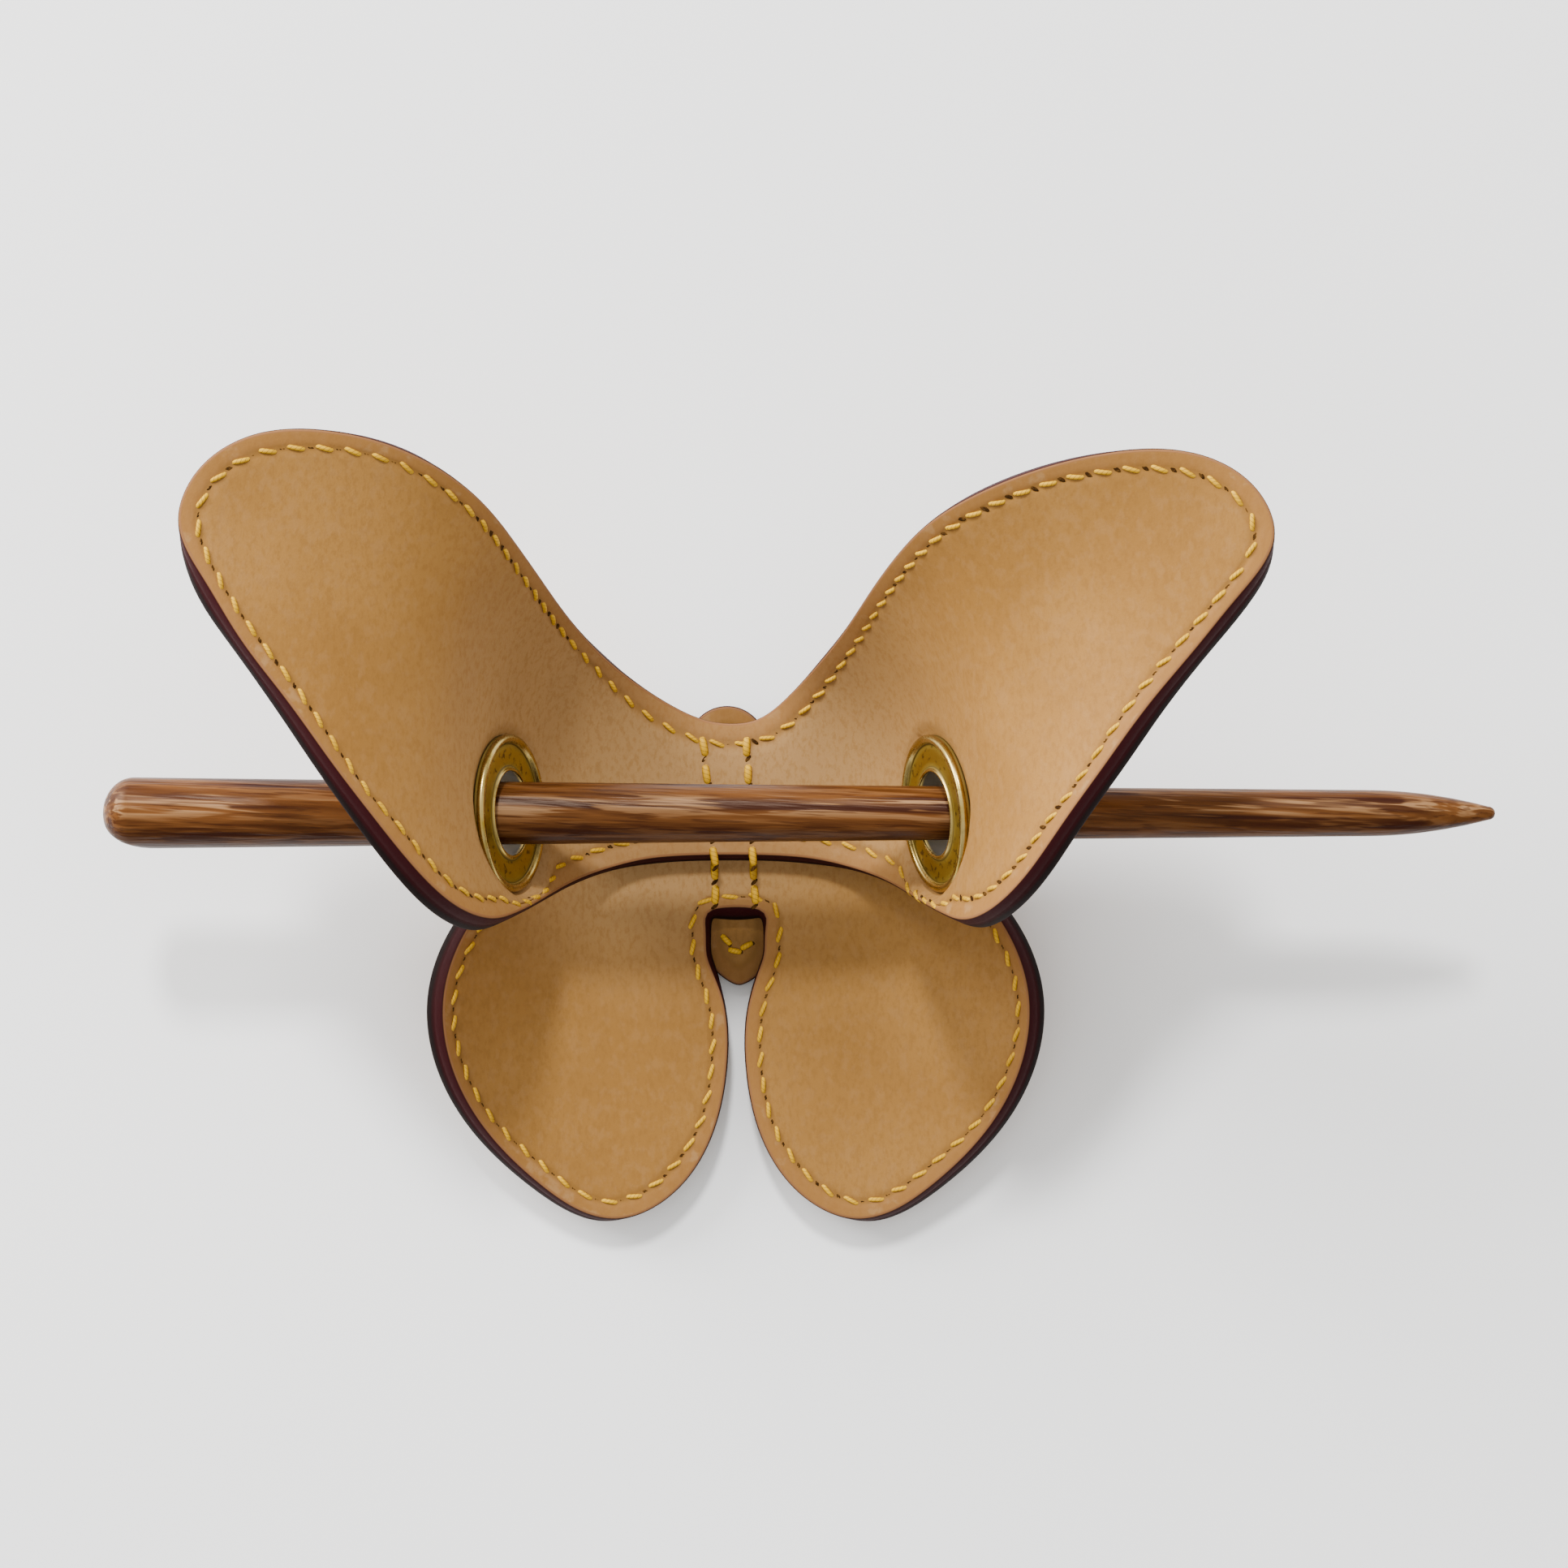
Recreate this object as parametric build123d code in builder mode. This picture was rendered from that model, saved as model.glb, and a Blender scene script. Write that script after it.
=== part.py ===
from build123d import *
import os
from math import sqrt
from typing import NamedTuple

# A hair barrette seen from its hair side: two leather butterfly panels, bent into a deep U, a body strap
# under them, and a wooden stick that goes through a brass eyelet in each upper wing. It lies on the body
# strap. X runs along the stick, Y to the wings' top, Z away from the table. Lengths are in millimetres.

# Leather and clearances
panel_thickness = 2.6
strap_thickness = 2.0
layer_gap = 0.1

# Upper wings
left_half_span = 60.4
right_half_span = 61.0
left_wing_top = 42.3
right_wing_top = 40.1
left_valley = 2.1
right_valley = -2.9
left_belly = 1.05
right_belly = -1.05
waist_dip = 10.7
lobe_drop = 12.4
wing_rise = 45.6
wing_dish = 5.3

# Lower wings
lower_half_width = 37.4
lower_reach = 50.6
lower_shift = 0.7
bowl_flat = 13.0
bowl_angle = 48
left_bowl_radius = 38.0
right_bowl_radius = 48.0
notch_width = 6.7
notch_top = 12.7
notch_depth = 4.9
slot_width = 2.2
slot_low = 31.4
slot_high = 24.3
slot_flare = 0.2

# Body strap
strap_width = 8.2
strap_swell = 1.2
head_top = 13.2
head_shoulder = 11.0
head_shift = -0.5
tail_shoulder = 18.0
tail_tip = 21.7
tail_shift = 1.0
tail_bulge = 0.4

# Eyelets
flange_diameter = 18.8
bore_diameter = 11.7
barrel_wall = 0.7
rim_height = 1.5
rim_width = 1.6
face_height = 0.8
lip_height = 1.1
back_flange_diameter = 16.6
back_flange_height = 0.9
seat_depth = 0.35
eyelet_lean = 6.0
seat_gap = 0.12

# Stick
stick_length = 165.0
left_overhang = 74.1
butt_diameter = 8.5
butt_dome = 3.6
butt_slant_reach = 0.15
butt_slant_length = 6.6
middle_diameter = 7.3
taper_diameter = 5.5
taper_length = 15.0
taper_bulge = 0.45
point_diameter = 1.6

# A quarter of a turn in degrees, and how far a cut runs past the solid
quarter_turn = 90
cut_overrun = 0.1

# Heights of the stacked layers
lower_base = strap_thickness + layer_gap
upper_base = lower_base + panel_thickness + layer_gap
waist_height = upper_base + panel_thickness


class WingLine(NamedTuple):
    """One line across an upper wing, on the hair side, from its top edge to its low edge.

    x is a share of the half span. top_y goes from the waist's dip (0) to the wing's top (1). valley is a
    share of the wing's valley shift, which moves the top end out. low_y goes down to the lobe's bottom (-1)
    or up to the wing's top (1). belly is a share of the wing's belly, which moves the low end out. z is a
    share of the rise over the waist, and dish is a share of the wing's dish.
    """

    top_x: float
    top_y: float
    top_z: float
    valley: float
    low_x: float
    low_y: float
    low_z: float
    belly: float
    dish: float


wing_lines = [
    WingLine(0.000, 0.000, 0.000, 0.00, 0.000, -0.46, 0.000, 0.00, 0.005),
    WingLine(0.070, 0.028, 0.006, 0.10, 0.130, -0.48, 0.000, 0.00, 0.02),
    WingLine(0.140, 0.112, 0.050, 0.48, 0.220, -0.54, 0.010, 0.00, 0.22),
    WingLine(0.206, 0.220, 0.140, 0.80, 0.286, -0.635, 0.052, 0.00, 0.62),
    WingLine(0.266, 0.350, 0.277, 0.95, 0.335, -0.75, 0.146, 0.00, 0.93),
    WingLine(0.317, 0.497, 0.472, 1.00, 0.375, -0.87, 0.300, 0.00, 1.00),
    WingLine(0.369, 0.645, 0.660, 0.95, 0.412, -0.965, 0.455, 0.00, 0.98),
    WingLine(0.428, 0.770, 0.808, 0.75, 0.452, -1.00, 0.596, 0.10, 0.90),
    WingLine(0.510, 0.873, 0.898, 0.42, 0.505, -0.86, 0.716, 0.30, 0.77),
    WingLine(0.612, 0.953, 0.948, 0.12, 0.569, -0.52, 0.812, 0.50, 0.60),
    WingLine(0.724, 0.996, 0.974, 0.00, 0.640, -0.03, 0.885, 0.80, 0.41),
    WingLine(0.832, 0.994, 0.989, 0.00, 0.720, 0.153, 0.934, 0.95, 0.25),
    WingLine(0.914, 0.938, 0.996, 0.00, 0.804, 0.323, 0.961, 1.00, 0.13),
    WingLine(0.966, 0.842, 1.000, 0.00, 0.883, 0.472, 0.981, 0.85, 0.06),
    WingLine(0.992, 0.740, 1.000, 0.00, 0.944, 0.600, 0.993, 0.40, 0.03),
    WingLine(1.000, 0.655, 1.000, 0.00, 0.988, 0.685, 0.999, 0.00, 0.01),
]
eyelet_line = len(wing_lines) // 3
last_line = len(wing_lines) - 1
share_step = 0.01
level_halvings = 40

# A lower wing's outline from the hidden top round the lobe to the slot: shares of its half width and reach
lobe_outline = [
    (0.24, 0.19),
    (0.55, -0.02),
    (0.88, -0.23),
    (1.00, -0.44),
    (0.95, -0.66),
    (0.67, -0.915),
    (0.43, -1.00),
    (0.22, -0.94),
    (0.09, -0.81),
]


class Wing(NamedTuple):
    """The sizes in which the left and the right upper wing differ; side is -1 or 1 along X."""

    side: int
    half_span: float
    top: float
    valley: float
    belly: float


left_wing = Wing(-1, left_half_span, left_wing_top, left_valley, left_belly)
right_wing = Wing(1, right_half_span, right_wing_top, right_valley, right_belly)


def line_ends(wing, index):
    """The top and low ends of a wing line on the hair side."""
    line = wing_lines[index]
    top = Vector(
        wing.side * (line.top_x * wing.half_span + line.valley * wing.valley),
        waist_dip + line.top_y * (wing.top - waist_dip),
        waist_height + line.top_z * wing_rise,
    )
    low = Vector(
        wing.side * (line.low_x * wing.half_span + line.belly * wing.belly),
        line.low_y * (wing.top if line.low_y > 0 else lobe_drop),
        waist_height + line.low_z * wing_rise,
    )
    return top, low


def line_plane(wing, index):
    """Plane of a wing line's arc: x from the top end to the low end, y out of the hair side."""
    top, low = line_ends(wing, index)
    before = line_ends(wing, max(index - 1, 0))
    after = line_ends(wing, min(index + 1, last_line))
    outward = after[0] + after[1] - before[0] - before[1]
    along = (low - top).normalized()
    return Plane(origin=top, x_dir=along, z_dir=along.cross(along.cross(outward) * wing.side))


def arc_point(wing, index, share):
    """Point of a wing line's arc, at a share of its length from the top end."""
    top, low = line_ends(wing, index)
    length = (low - top).length
    sag = wing_lines[index].dish * wing_dish
    radius = (length**2 / 4 + sag**2) / (2 * sag)
    offset = (share - 0.5) * length
    height = radius - sag - sqrt(radius**2 - offset**2)
    return line_plane(wing, index).from_local_coords(Vector(share * length, height, 0))


def hair_normal(wing, index, share):
    """Unit vector out of the hair side, where a wing line's arc is at a share of its length."""
    if index in (0, last_line):
        return line_plane(wing, index).y_dir
    along = arc_point(wing, index, share + share_step) - arc_point(wing, index, share - share_step)
    across = arc_point(wing, index + 1, share) - arc_point(wing, index - 1, share)
    return (along.cross(across) * wing.side).normalized()


def wall_section(wing, index):
    """Closed outline of the wall along a wing line: two arcs, and an edge square to the wall at each end."""
    hair = [arc_point(wing, index, share) for share in (0, 0.5, 1)]
    outer = [
        point - hair_normal(wing, index, share) * panel_thickness
        for point, share in zip(hair, (0, 0.5, 1))
    ]
    return Wire(
        [
            Edge.make_three_point_arc(*hair),
            Edge.make_line(hair[2], outer[2]),
            Edge.make_three_point_arc(*reversed(outer)),
            Edge.make_line(outer[0], hair[0]),
        ]
    )


def level_share(wing, index):
    """Share of a wing line's length at which it crosses the stick's level, y = 0."""
    above, below = 0.0, 1.0
    for _ in range(level_halvings):
        middle = (above + below) / 2
        if arc_point(wing, index, middle).Y > 0:
            above = middle
        else:
            below = middle
    return above


def eyelet_plane(wing):
    """Plane of an eyelet's seat: its origin on the wall's hair side, its z axis out of the wall."""
    share = level_share(wing, eyelet_line)
    out_of_wall = hair_normal(wing, eyelet_line, share).rotate(Axis.Z, wing.side * eyelet_lean)
    return Plane(
        origin=arc_point(wing, eyelet_line, share),
        x_dir=Vector(0, -1, 0).cross(out_of_wall),
        z_dir=out_of_wall,
    )


# Eyelet levels over the wall's hair side, and radii
flange_underside = seat_gap - seat_depth
back_face = -panel_thickness - seat_gap
flange_radius = flange_diameter / 2
bore_radius = bore_diameter / 2
barrel_radius = bore_radius + barrel_wall
back_radius = back_flange_diameter / 2
stick_height = (eyelet_plane(left_wing).origin.Z + eyelet_plane(right_wing).origin.Z) / 2

# Upper wings: one wall, lofted from the left tip over the waist to the right tip
sections = [wall_section(left_wing, index) for index in range(last_line, 0, -1)]
sections += [wall_section(right_wing, index) for index in range(last_line + 1)]
wall = Solid.make_loft(sections)

with BuildPart() as upper_wings:
    add(wall)
    for wing in (left_wing, right_wing):
        seat = eyelet_plane(wing)
        with BuildSketch(seat.offset(-seat_depth)):
            Circle(flange_radius + seat_gap)
        extrude(amount=seat_depth + rim_height, mode=Mode.SUBTRACT)
        with BuildSketch(seat.offset(back_face + seat_gap)):
            Circle(back_radius + seat_gap)
        extrude(amount=-2 * back_flange_height, mode=Mode.SUBTRACT)
        with BuildSketch(seat):
            Circle(barrel_radius + seat_gap)
        extrude(amount=2 * panel_thickness, both=True, mode=Mode.SUBTRACT)
upper_wings.part.label = "upper_wings"

# Eyelets: a flange with a rounded rim and a rolled inner lip, a barrel, and a flange behind the wall
eyelets = {}
for name, wing in (("eyelet_left", left_wing), ("eyelet_right", right_wing)):
    seat = eyelet_plane(wing)
    with BuildPart() as eyelet:
        with BuildSketch(Plane(origin=seat.origin, x_dir=seat.x_dir, z_dir=-seat.y_dir)):
            with BuildLine():
                rim_top = flange_underside + rim_height
                face = flange_underside + face_height
                lip_top = flange_underside + lip_height
                rim_inside = flange_radius - rim_width
                lip_inside = barrel_radius + barrel_wall / 2
                back_end = back_face - back_flange_height
                Polyline(
                    (bore_radius, lip_top - barrel_wall / 2),
                    (bore_radius, back_end),
                    (back_radius - back_flange_height / 2, back_end),
                    (back_radius, back_face - back_flange_height / 2),
                    (back_radius, back_face),
                    (barrel_radius, back_face),
                    (barrel_radius, flange_underside),
                    (flange_radius, flange_underside),
                    (flange_radius, rim_top - rim_width / 2),
                )
                ThreePointArc(
                    (flange_radius, rim_top - rim_width / 2),
                    (flange_radius - rim_width / 2, rim_top),
                    (rim_inside, face + barrel_wall / 4),
                )
                Line((rim_inside, face + barrel_wall / 4), (lip_inside, face))
                ThreePointArc(
                    (lip_inside, face),
                    (barrel_radius - barrel_wall / 4, lip_top),
                    (bore_radius, lip_top - barrel_wall / 2),
                )
            make_face()
        revolve(axis=Axis(seat.origin, seat.z_dir))
    eyelet.part.label = name
    eyelets[name] = eyelet.part

# Lower wings: a wall bent up at both sides, cut to the outline of two lobes with a notch and a slot between
hidden_top = lobe_outline[0][1] * lower_reach
bowl_face = lower_base + panel_thickness
with BuildPart() as lower_wings:
    with BuildSketch(Plane.XZ.offset(-hidden_top)):
        with BuildLine():
            Line((-bowl_flat, lower_base), (bowl_flat, lower_base))
            Line((-bowl_flat, bowl_face), (bowl_flat, bowl_face))
            for side, bowl_radius in ((-1, left_bowl_radius), (1, right_bowl_radius)):
                centre = (side * bowl_flat, bowl_face + bowl_radius)
                outside = CenterArc(centre, bowl_radius + panel_thickness, -quarter_turn, side * bowl_angle)
                inside = CenterArc(centre, bowl_radius, -quarter_turn, side * bowl_angle)
                Line(outside @ 1, inside @ 1)
        make_face()
    extrude(amount=hidden_top + lower_reach + panel_thickness)
    with BuildSketch(Plane((lower_shift, 0, 0))):
        with BuildLine():
            for side in (-1, 1):
                lobe = [(side * x * lower_half_width, y * lower_reach) for x, y in lobe_outline]
                lobe += [
                    (side * slot_width / 2, -slot_low),
                    (side * (slot_width / 2 + slot_flare), -slot_high),
                    (side * notch_width / 2, -notch_top - notch_depth),
                ]
                Spline(*lobe)
                Line(lobe[-1], (side * notch_width / 2, -notch_top))
                Line((0, -notch_top), (side * notch_width / 2, -notch_top))
                Line(lobe[0], (0, lobe[0][1]))
        make_face()
    extrude(amount=waist_height + wing_rise, mode=Mode.INTERSECT)
lower_wings.part.label = "lower_wings"

# Body strap: a rounded head above the waist, sides that swell under it, and a pointed tail in the notch
half_strap = strap_width / 2
tail_middle = (tail_shoulder + tail_tip) / 2 + tail_bulge
swell_middle = ((head_shift + tail_shift) / 2, (head_shoulder - tail_shoulder) / 2)
with BuildPart() as body_strap:
    with BuildSketch():
        with BuildLine():
            for side in (-1, 1):
                head_corner = (head_shift + side * half_strap, head_shoulder)
                tail_corner = (tail_shift + side * half_strap, -tail_shoulder)
                side_middle = (swell_middle[0] + side * (half_strap + strap_swell), swell_middle[1])
                tail_side = (tail_shift + side * (half_strap / 2 + tail_bulge), -tail_middle)
                ThreePointArc(head_corner, side_middle, tail_corner)
                ThreePointArc(tail_corner, tail_side, (tail_shift, -tail_tip))
            ThreePointArc(
                (head_shift - half_strap, head_shoulder),
                (head_shift, head_top),
                (head_shift + half_strap, head_shoulder),
            )
        make_face()
    extrude(amount=strap_thickness)
body_strap.part.label = "body_strap"

# Stick: turned about its own axis, with a blunt left end cut off at a slant below and a pointed right end
left_end = -left_overhang
right_end = left_end + stick_length
taper_start = right_end - taper_length
butt_radius = butt_diameter / 2
point_radius = point_diameter / 2
stick_plane = Plane((0, 0, stick_height), x_dir=(1, 0, 0), z_dir=(0, -1, 0))
with BuildPart() as stick:
    with BuildSketch(stick_plane):
        with BuildLine():
            EllipticalCenterArc((left_end + butt_dome, 0), butt_dome, butt_radius, quarter_turn)
            Line((left_end + butt_dome, butt_radius), (0, middle_diameter / 2))
            Line((0, middle_diameter / 2), (taper_start, taper_diameter / 2))
            ThreePointArc(
                (taper_start, taper_diameter / 2),
                (right_end - taper_length / 2, (taper_diameter / 2 + point_radius) / 2 + taper_bulge),
                (right_end - point_radius, point_radius),
            )
            CenterArc((right_end - point_radius, 0), point_radius, 0, quarter_turn)
            Line((right_end, 0), (left_end, 0))
        make_face()
    revolve(axis=Axis((0, 0, stick_height), (1, 0, 0)))
    with BuildSketch(Plane.XY.offset(stick_height)):
        with BuildLine():
            underside = EllipticalCenterArc(
                (left_end + butt_slant_length, 0),
                butt_slant_length + butt_slant_reach,
                butt_radius + cut_overrun,
                2 * quarter_turn,
            )
            corner = (left_end - butt_dome, -butt_radius - cut_overrun)
            Polyline(underside @ 1, corner, (left_end - butt_dome, 0), underside @ 0)
        make_face()
    extrude(amount=butt_diameter, both=True, mode=Mode.SUBTRACT)
stick.part.label = "stick"

os.makedirs("parts", exist_ok=True)
export_step(upper_wings.part, "parts/upper_wings.step")
export_step(lower_wings.part, "parts/lower_wings.step")
export_step(body_strap.part, "parts/body_strap.step")
export_step(stick.part, "parts/stick.step")
for name, piece in eyelets.items():
    export_step(piece, f"parts/{name}.step")
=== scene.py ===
import logging
import math
from dataclasses import dataclass, field, replace
from enum import Enum
from typing import Callable, NamedTuple, Sequence

import bmesh
import bpy
import numpy as np
from bpy.types import ID, Material, Mesh, Node, NodeOutputs, NodeSocket, NodeTree, Object
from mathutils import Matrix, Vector
from mathutils.geometry import delaunay_2d_cdt


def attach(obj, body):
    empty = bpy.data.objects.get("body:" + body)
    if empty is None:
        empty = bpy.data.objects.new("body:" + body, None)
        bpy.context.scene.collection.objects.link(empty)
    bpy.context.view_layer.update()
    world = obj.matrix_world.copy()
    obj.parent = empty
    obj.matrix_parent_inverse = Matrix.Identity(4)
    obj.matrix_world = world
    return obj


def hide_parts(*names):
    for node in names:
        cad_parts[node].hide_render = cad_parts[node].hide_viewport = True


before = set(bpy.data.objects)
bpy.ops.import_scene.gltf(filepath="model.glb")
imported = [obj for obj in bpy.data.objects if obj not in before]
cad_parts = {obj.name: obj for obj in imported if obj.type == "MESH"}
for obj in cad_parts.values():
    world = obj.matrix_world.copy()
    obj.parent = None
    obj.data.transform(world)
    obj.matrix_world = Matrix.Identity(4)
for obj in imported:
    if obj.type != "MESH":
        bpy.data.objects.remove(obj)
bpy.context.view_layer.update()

log = logging.getLogger("barrette")
MM = 0.001
# Step, in millimetres, with which the slopes of a wall are measured
PROBE = 0.05
# Nominal depth of the stitch line in a wall, in millimetres
STITCH_DEPTH = 2.1
# How deep the short stitch lines sink into the leather, in millimetres
BAR_SINK = 0.02
LEATHER_BODY = "leather_body"
STICK_BODY = "stick_body"
Array = np.ndarray
Pair = tuple[float, float]
Colour = tuple[float, float, float]
Spot = tuple[float, float, float]
FacePair = tuple[Array, Array]
# Low end, high end and share of a tone that follows a value
Patch = tuple[float, float, float]


class Side(Enum):
    """A side of the barrette along X."""

    LEFT = -1
    RIGHT = 1


class Face(Enum):
    """A face of a leather wall: towards the hair, or the decorative outside."""

    HAIR = 1
    OUTER = -1


# Curves and meshes


class NaturalSpline:
    """A natural cubic spline through rows of values."""

    def __init__(self, knots: Array, values: Array) -> None:
        """Solve for the second derivatives at the knots.

        Args:
            knots: Rising parameter values, one per row.
            values: Rows of values, of shape (knots, columns).
        """
        self.knots = knots
        self.values = values
        count = len(knots)
        step = np.diff(knots)
        matrix = np.eye(count)
        right = np.zeros_like(values)
        slope = np.diff(values, axis=0) / step[:, None]
        for i in range(1, count - 1):
            matrix[i, i - 1 : i + 2] = step[i - 1], 2 * (step[i - 1] + step[i]), step[i]
            right[i] = 6 * (slope[i] - slope[i - 1])
        self.bend = np.linalg.solve(matrix, right)

    def __call__(self, at: Array) -> Array:
        """Evaluate the spline.

        Args:
            at: Parameter values.

        Returns:
            One row of values for each parameter.
        """
        i = np.clip(np.searchsorted(self.knots, at) - 1, 0, len(self.knots) - 2)
        step = (self.knots[i + 1] - self.knots[i])[:, None]
        b = (at - self.knots[i])[:, None] / step
        a = 1 - b
        curve = (a**3 - a) * self.bend[i] + (b**3 - b) * self.bend[i + 1]
        return a * self.values[i] + b * self.values[i + 1] + curve * step**2 / 6


def unit(rows: Array) -> Array:
    """Rows of vectors scaled to length one."""
    return rows / np.linalg.norm(rows, axis=-1, keepdims=True)


def smooth_step(low: float, high: float, value: Array) -> Array:
    """A smooth rise from 0 at low to 1 at high."""
    t = np.clip((value - low) / (high - low), 0, 1)
    return t * t * (3 - 2 * t)


def blend(start: Array, goal: Array, share: Array) -> Array:
    """Start where the share is 0, goal where it is 1, and between them elsewhere."""
    return start + (goal - start) * share


def turns(count: int) -> Array:
    """Angles at equal steps once round."""
    return np.linspace(0, 2 * math.pi, count, endpoint=False)


def run_length(points: Array) -> Array:
    """Length along a polyline at each of its points."""
    return np.concatenate([[0], np.cumsum(np.linalg.norm(np.diff(points, axis=0), axis=1))])


def resample(points: Array, by: Array, count: int) -> Array:
    """Points at equal steps along a polyline, by its running length; the last row isn't among them."""
    at = np.linspace(0, by[-1], count, endpoint=False)
    return np.stack([np.interp(at, by, column) for column in points.T], axis=1)


def arc_through(ends: Array, count: int) -> Array:
    """Flat points along the arc through three points.

    Args:
        ends: The start, a middle point and the end.
        count: How many points to return, both ends among them.

    Returns:
        The points.
    """
    start, middle, end = ends
    matrix = 2 * np.array([middle - start, end - start])
    centre = np.linalg.solve(matrix, [middle @ middle - start @ start, end @ end - start @ start])
    first, passed, last = (math.atan2(*(point - centre)[::-1]) for point in ends)
    half_turn = [(later - earlier + math.pi) % (2 * math.pi) - math.pi
                 for earlier, later in ((first, passed), (passed, last))]
    turn = first + np.linspace(0, sum(half_turn), count)
    return centre + np.linalg.norm(start - centre) * np.stack([np.cos(turn), np.sin(turn)], 1)


def soften_loop(points: Array, passes: int) -> Array:
    """A closed loop with its corners rounded by repeated averaging."""
    for _ in range(passes):
        points = (np.roll(points, 1, 0) + 2 * points + np.roll(points, -1, 0)) / 4
    return points


def even_loop(closed: Array, by: Array, step: float, passes: int) -> Array:
    """A loop, given with its first point once more at the end, at even steps and with its corners rounded."""
    return soften_loop(resample(closed, by, int(by[-1] / step)), passes)


def inside(points: Array, loop: Array) -> Array:
    """Which points lie inside a closed flat loop."""
    x, y = points[:, :1], points[:, 1:]
    ax, ay = loop.T
    bx, by = np.roll(loop, -1, 0).T
    crosses = (ay > y) != (by > y)
    with np.errstate(divide="ignore", invalid="ignore"):
        reach = ax + (y - ay) * (bx - ax) / (by - ay)
    return (crosses & (x < reach)).sum(1) % 2 == 1


def nearest(points: Array, to: Array) -> Array:
    """Distance from each point to the nearest of the other points."""
    parts = [np.linalg.norm(p[:, None] - to[None], axis=2).min(1) for p in np.array_split(points, 32) if len(p)]
    return np.concatenate(parts)


def slopes(surface: Callable[[Array], Array], flat: Array) -> FacePair:
    """Points of a surface at flat coordinates, and its slopes along both of them."""
    here = surface(flat)
    return here, np.stack([surface(flat + [PROBE, 0]) - here, surface(flat + [0, PROBE]) - here], 2) / PROBE


def settled(surface: Callable[[Array], Array], goal: Array, flat: Array, steps: int = 5,
            longest: float = 1.5) -> Array:
    """Flat coordinates of the points of a surface that lie nearest to goal points.

    Args:
        surface: Gives points for flat coordinates.
        goal: Points to come near to.
        flat: Flat coordinates to start from.
        steps: Number of Newton steps.
        longest: The most that a coordinate may change in one step.

    Returns:
        The flat coordinates.
    """
    for _ in range(steps):
        here, across = slopes(surface, flat)
        flat = flat + np.clip(np.einsum("nij,nj->ni", np.linalg.pinv(across), goal - here), -longest, longest)
    return flat


def line_on(faces_at: Callable[[Array], FacePair], flat: Array, face: Face, lift: float,
            closed: bool = False) -> "StitchLine":
    """A line on one face of a wall, along flat coordinates and at a height over that face."""
    hair, outer = faces_at(flat)
    normal = unit(hair - outer) * face.value
    return StitchLine((hair if face is Face.HAIR else outer) + normal * lift, normal, closed)


def face_outwards(mesh: Mesh) -> None:
    """Turn all faces of a closed mesh outwards."""
    shape = bmesh.new()
    shape.from_mesh(mesh)
    bmesh.ops.recalc_face_normals(shape, faces=shape.faces)
    shape.to_mesh(mesh)
    shape.free()


def strips(chain: Sequence[int], count: int) -> list[list[int]]:
    """Faces between each closed ring of vertices and the next one; a ring is given by its first index."""
    return [[here + i, here + (i + 1) % count, there + (i + 1) % count, there + i]
            for here, there in zip(chain, chain[1:]) for i in range(count)]


def fan(tip: int, ring: int, count: int) -> list[list[int]]:
    """Triangles between one vertex and a closed ring of vertices."""
    return [[tip, ring + i, ring + (i + 1) % count] for i in range(count)]


def run_edges(first: int, count: int, closed: bool) -> list[tuple[int, int]]:
    """Edges along a run of vertices, and back to its first one where it is closed."""
    return [(first + i, first + (i + 1) % count) for i in range(count if closed else count - 1)]


def linked(name: str, data: ID) -> Object:
    """A new object with some data, at the origin of the scene."""
    made = bpy.data.objects.new(name, data)
    bpy.context.scene.collection.objects.link(made)
    return made


def new_object(name: str, points: Array, faces: Sequence[Sequence[int]], outward: bool = True) -> Object:
    """Make a smooth mesh object at the origin.

    Args:
        name: Name of the object and its mesh.
        points: Vertices in millimetres.
        faces: Vertex indices of each face.
        outward: Whether to turn all faces outwards, for a closed mesh.

    Returns:
        The new object, linked to the scene.
    """
    mesh = bpy.data.meshes.new(name)
    mesh.from_pydata((np.asarray(points, float) * MM).tolist(), [], [list(map(int, f)) for f in faces])
    if outward:
        face_outwards(mesh)
    mesh.shade_smooth()
    mesh.update()
    return linked(name, mesh)


def add_attribute(thing: Object, name: str, values: Array) -> None:
    """Store one number per vertex on a mesh object."""
    store = thing.data.attributes.new(name, "FLOAT", "POINT")
    store.data.foreach_set("value", np.asarray(values, np.float32))


def lathe(profile: Array, segments: int) -> tuple[Array, list[list[int]]]:
    """Vertices and faces of a closed profile, in rows of radius and height, spun about the local Z axis."""
    radius, height = profile.T
    turn, count = turns(segments), len(profile)
    points = np.stack([np.outer(np.cos(turn), radius), np.outer(np.sin(turn), radius),
                       np.tile(height, (segments, 1))], axis=2)
    return points.reshape(-1, 3), strips([*range(0, segments * count, count), 0], count)


def dress(piece: Object, finish: Material, body: str, node: str) -> None:
    """Give a piece its finish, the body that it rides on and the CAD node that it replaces."""
    piece.data.materials.append(finish)
    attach(piece, body)
    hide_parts(node)
    log.info("%s: %d faces", piece.name, len(piece.data.polygons))


# Finishes


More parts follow.
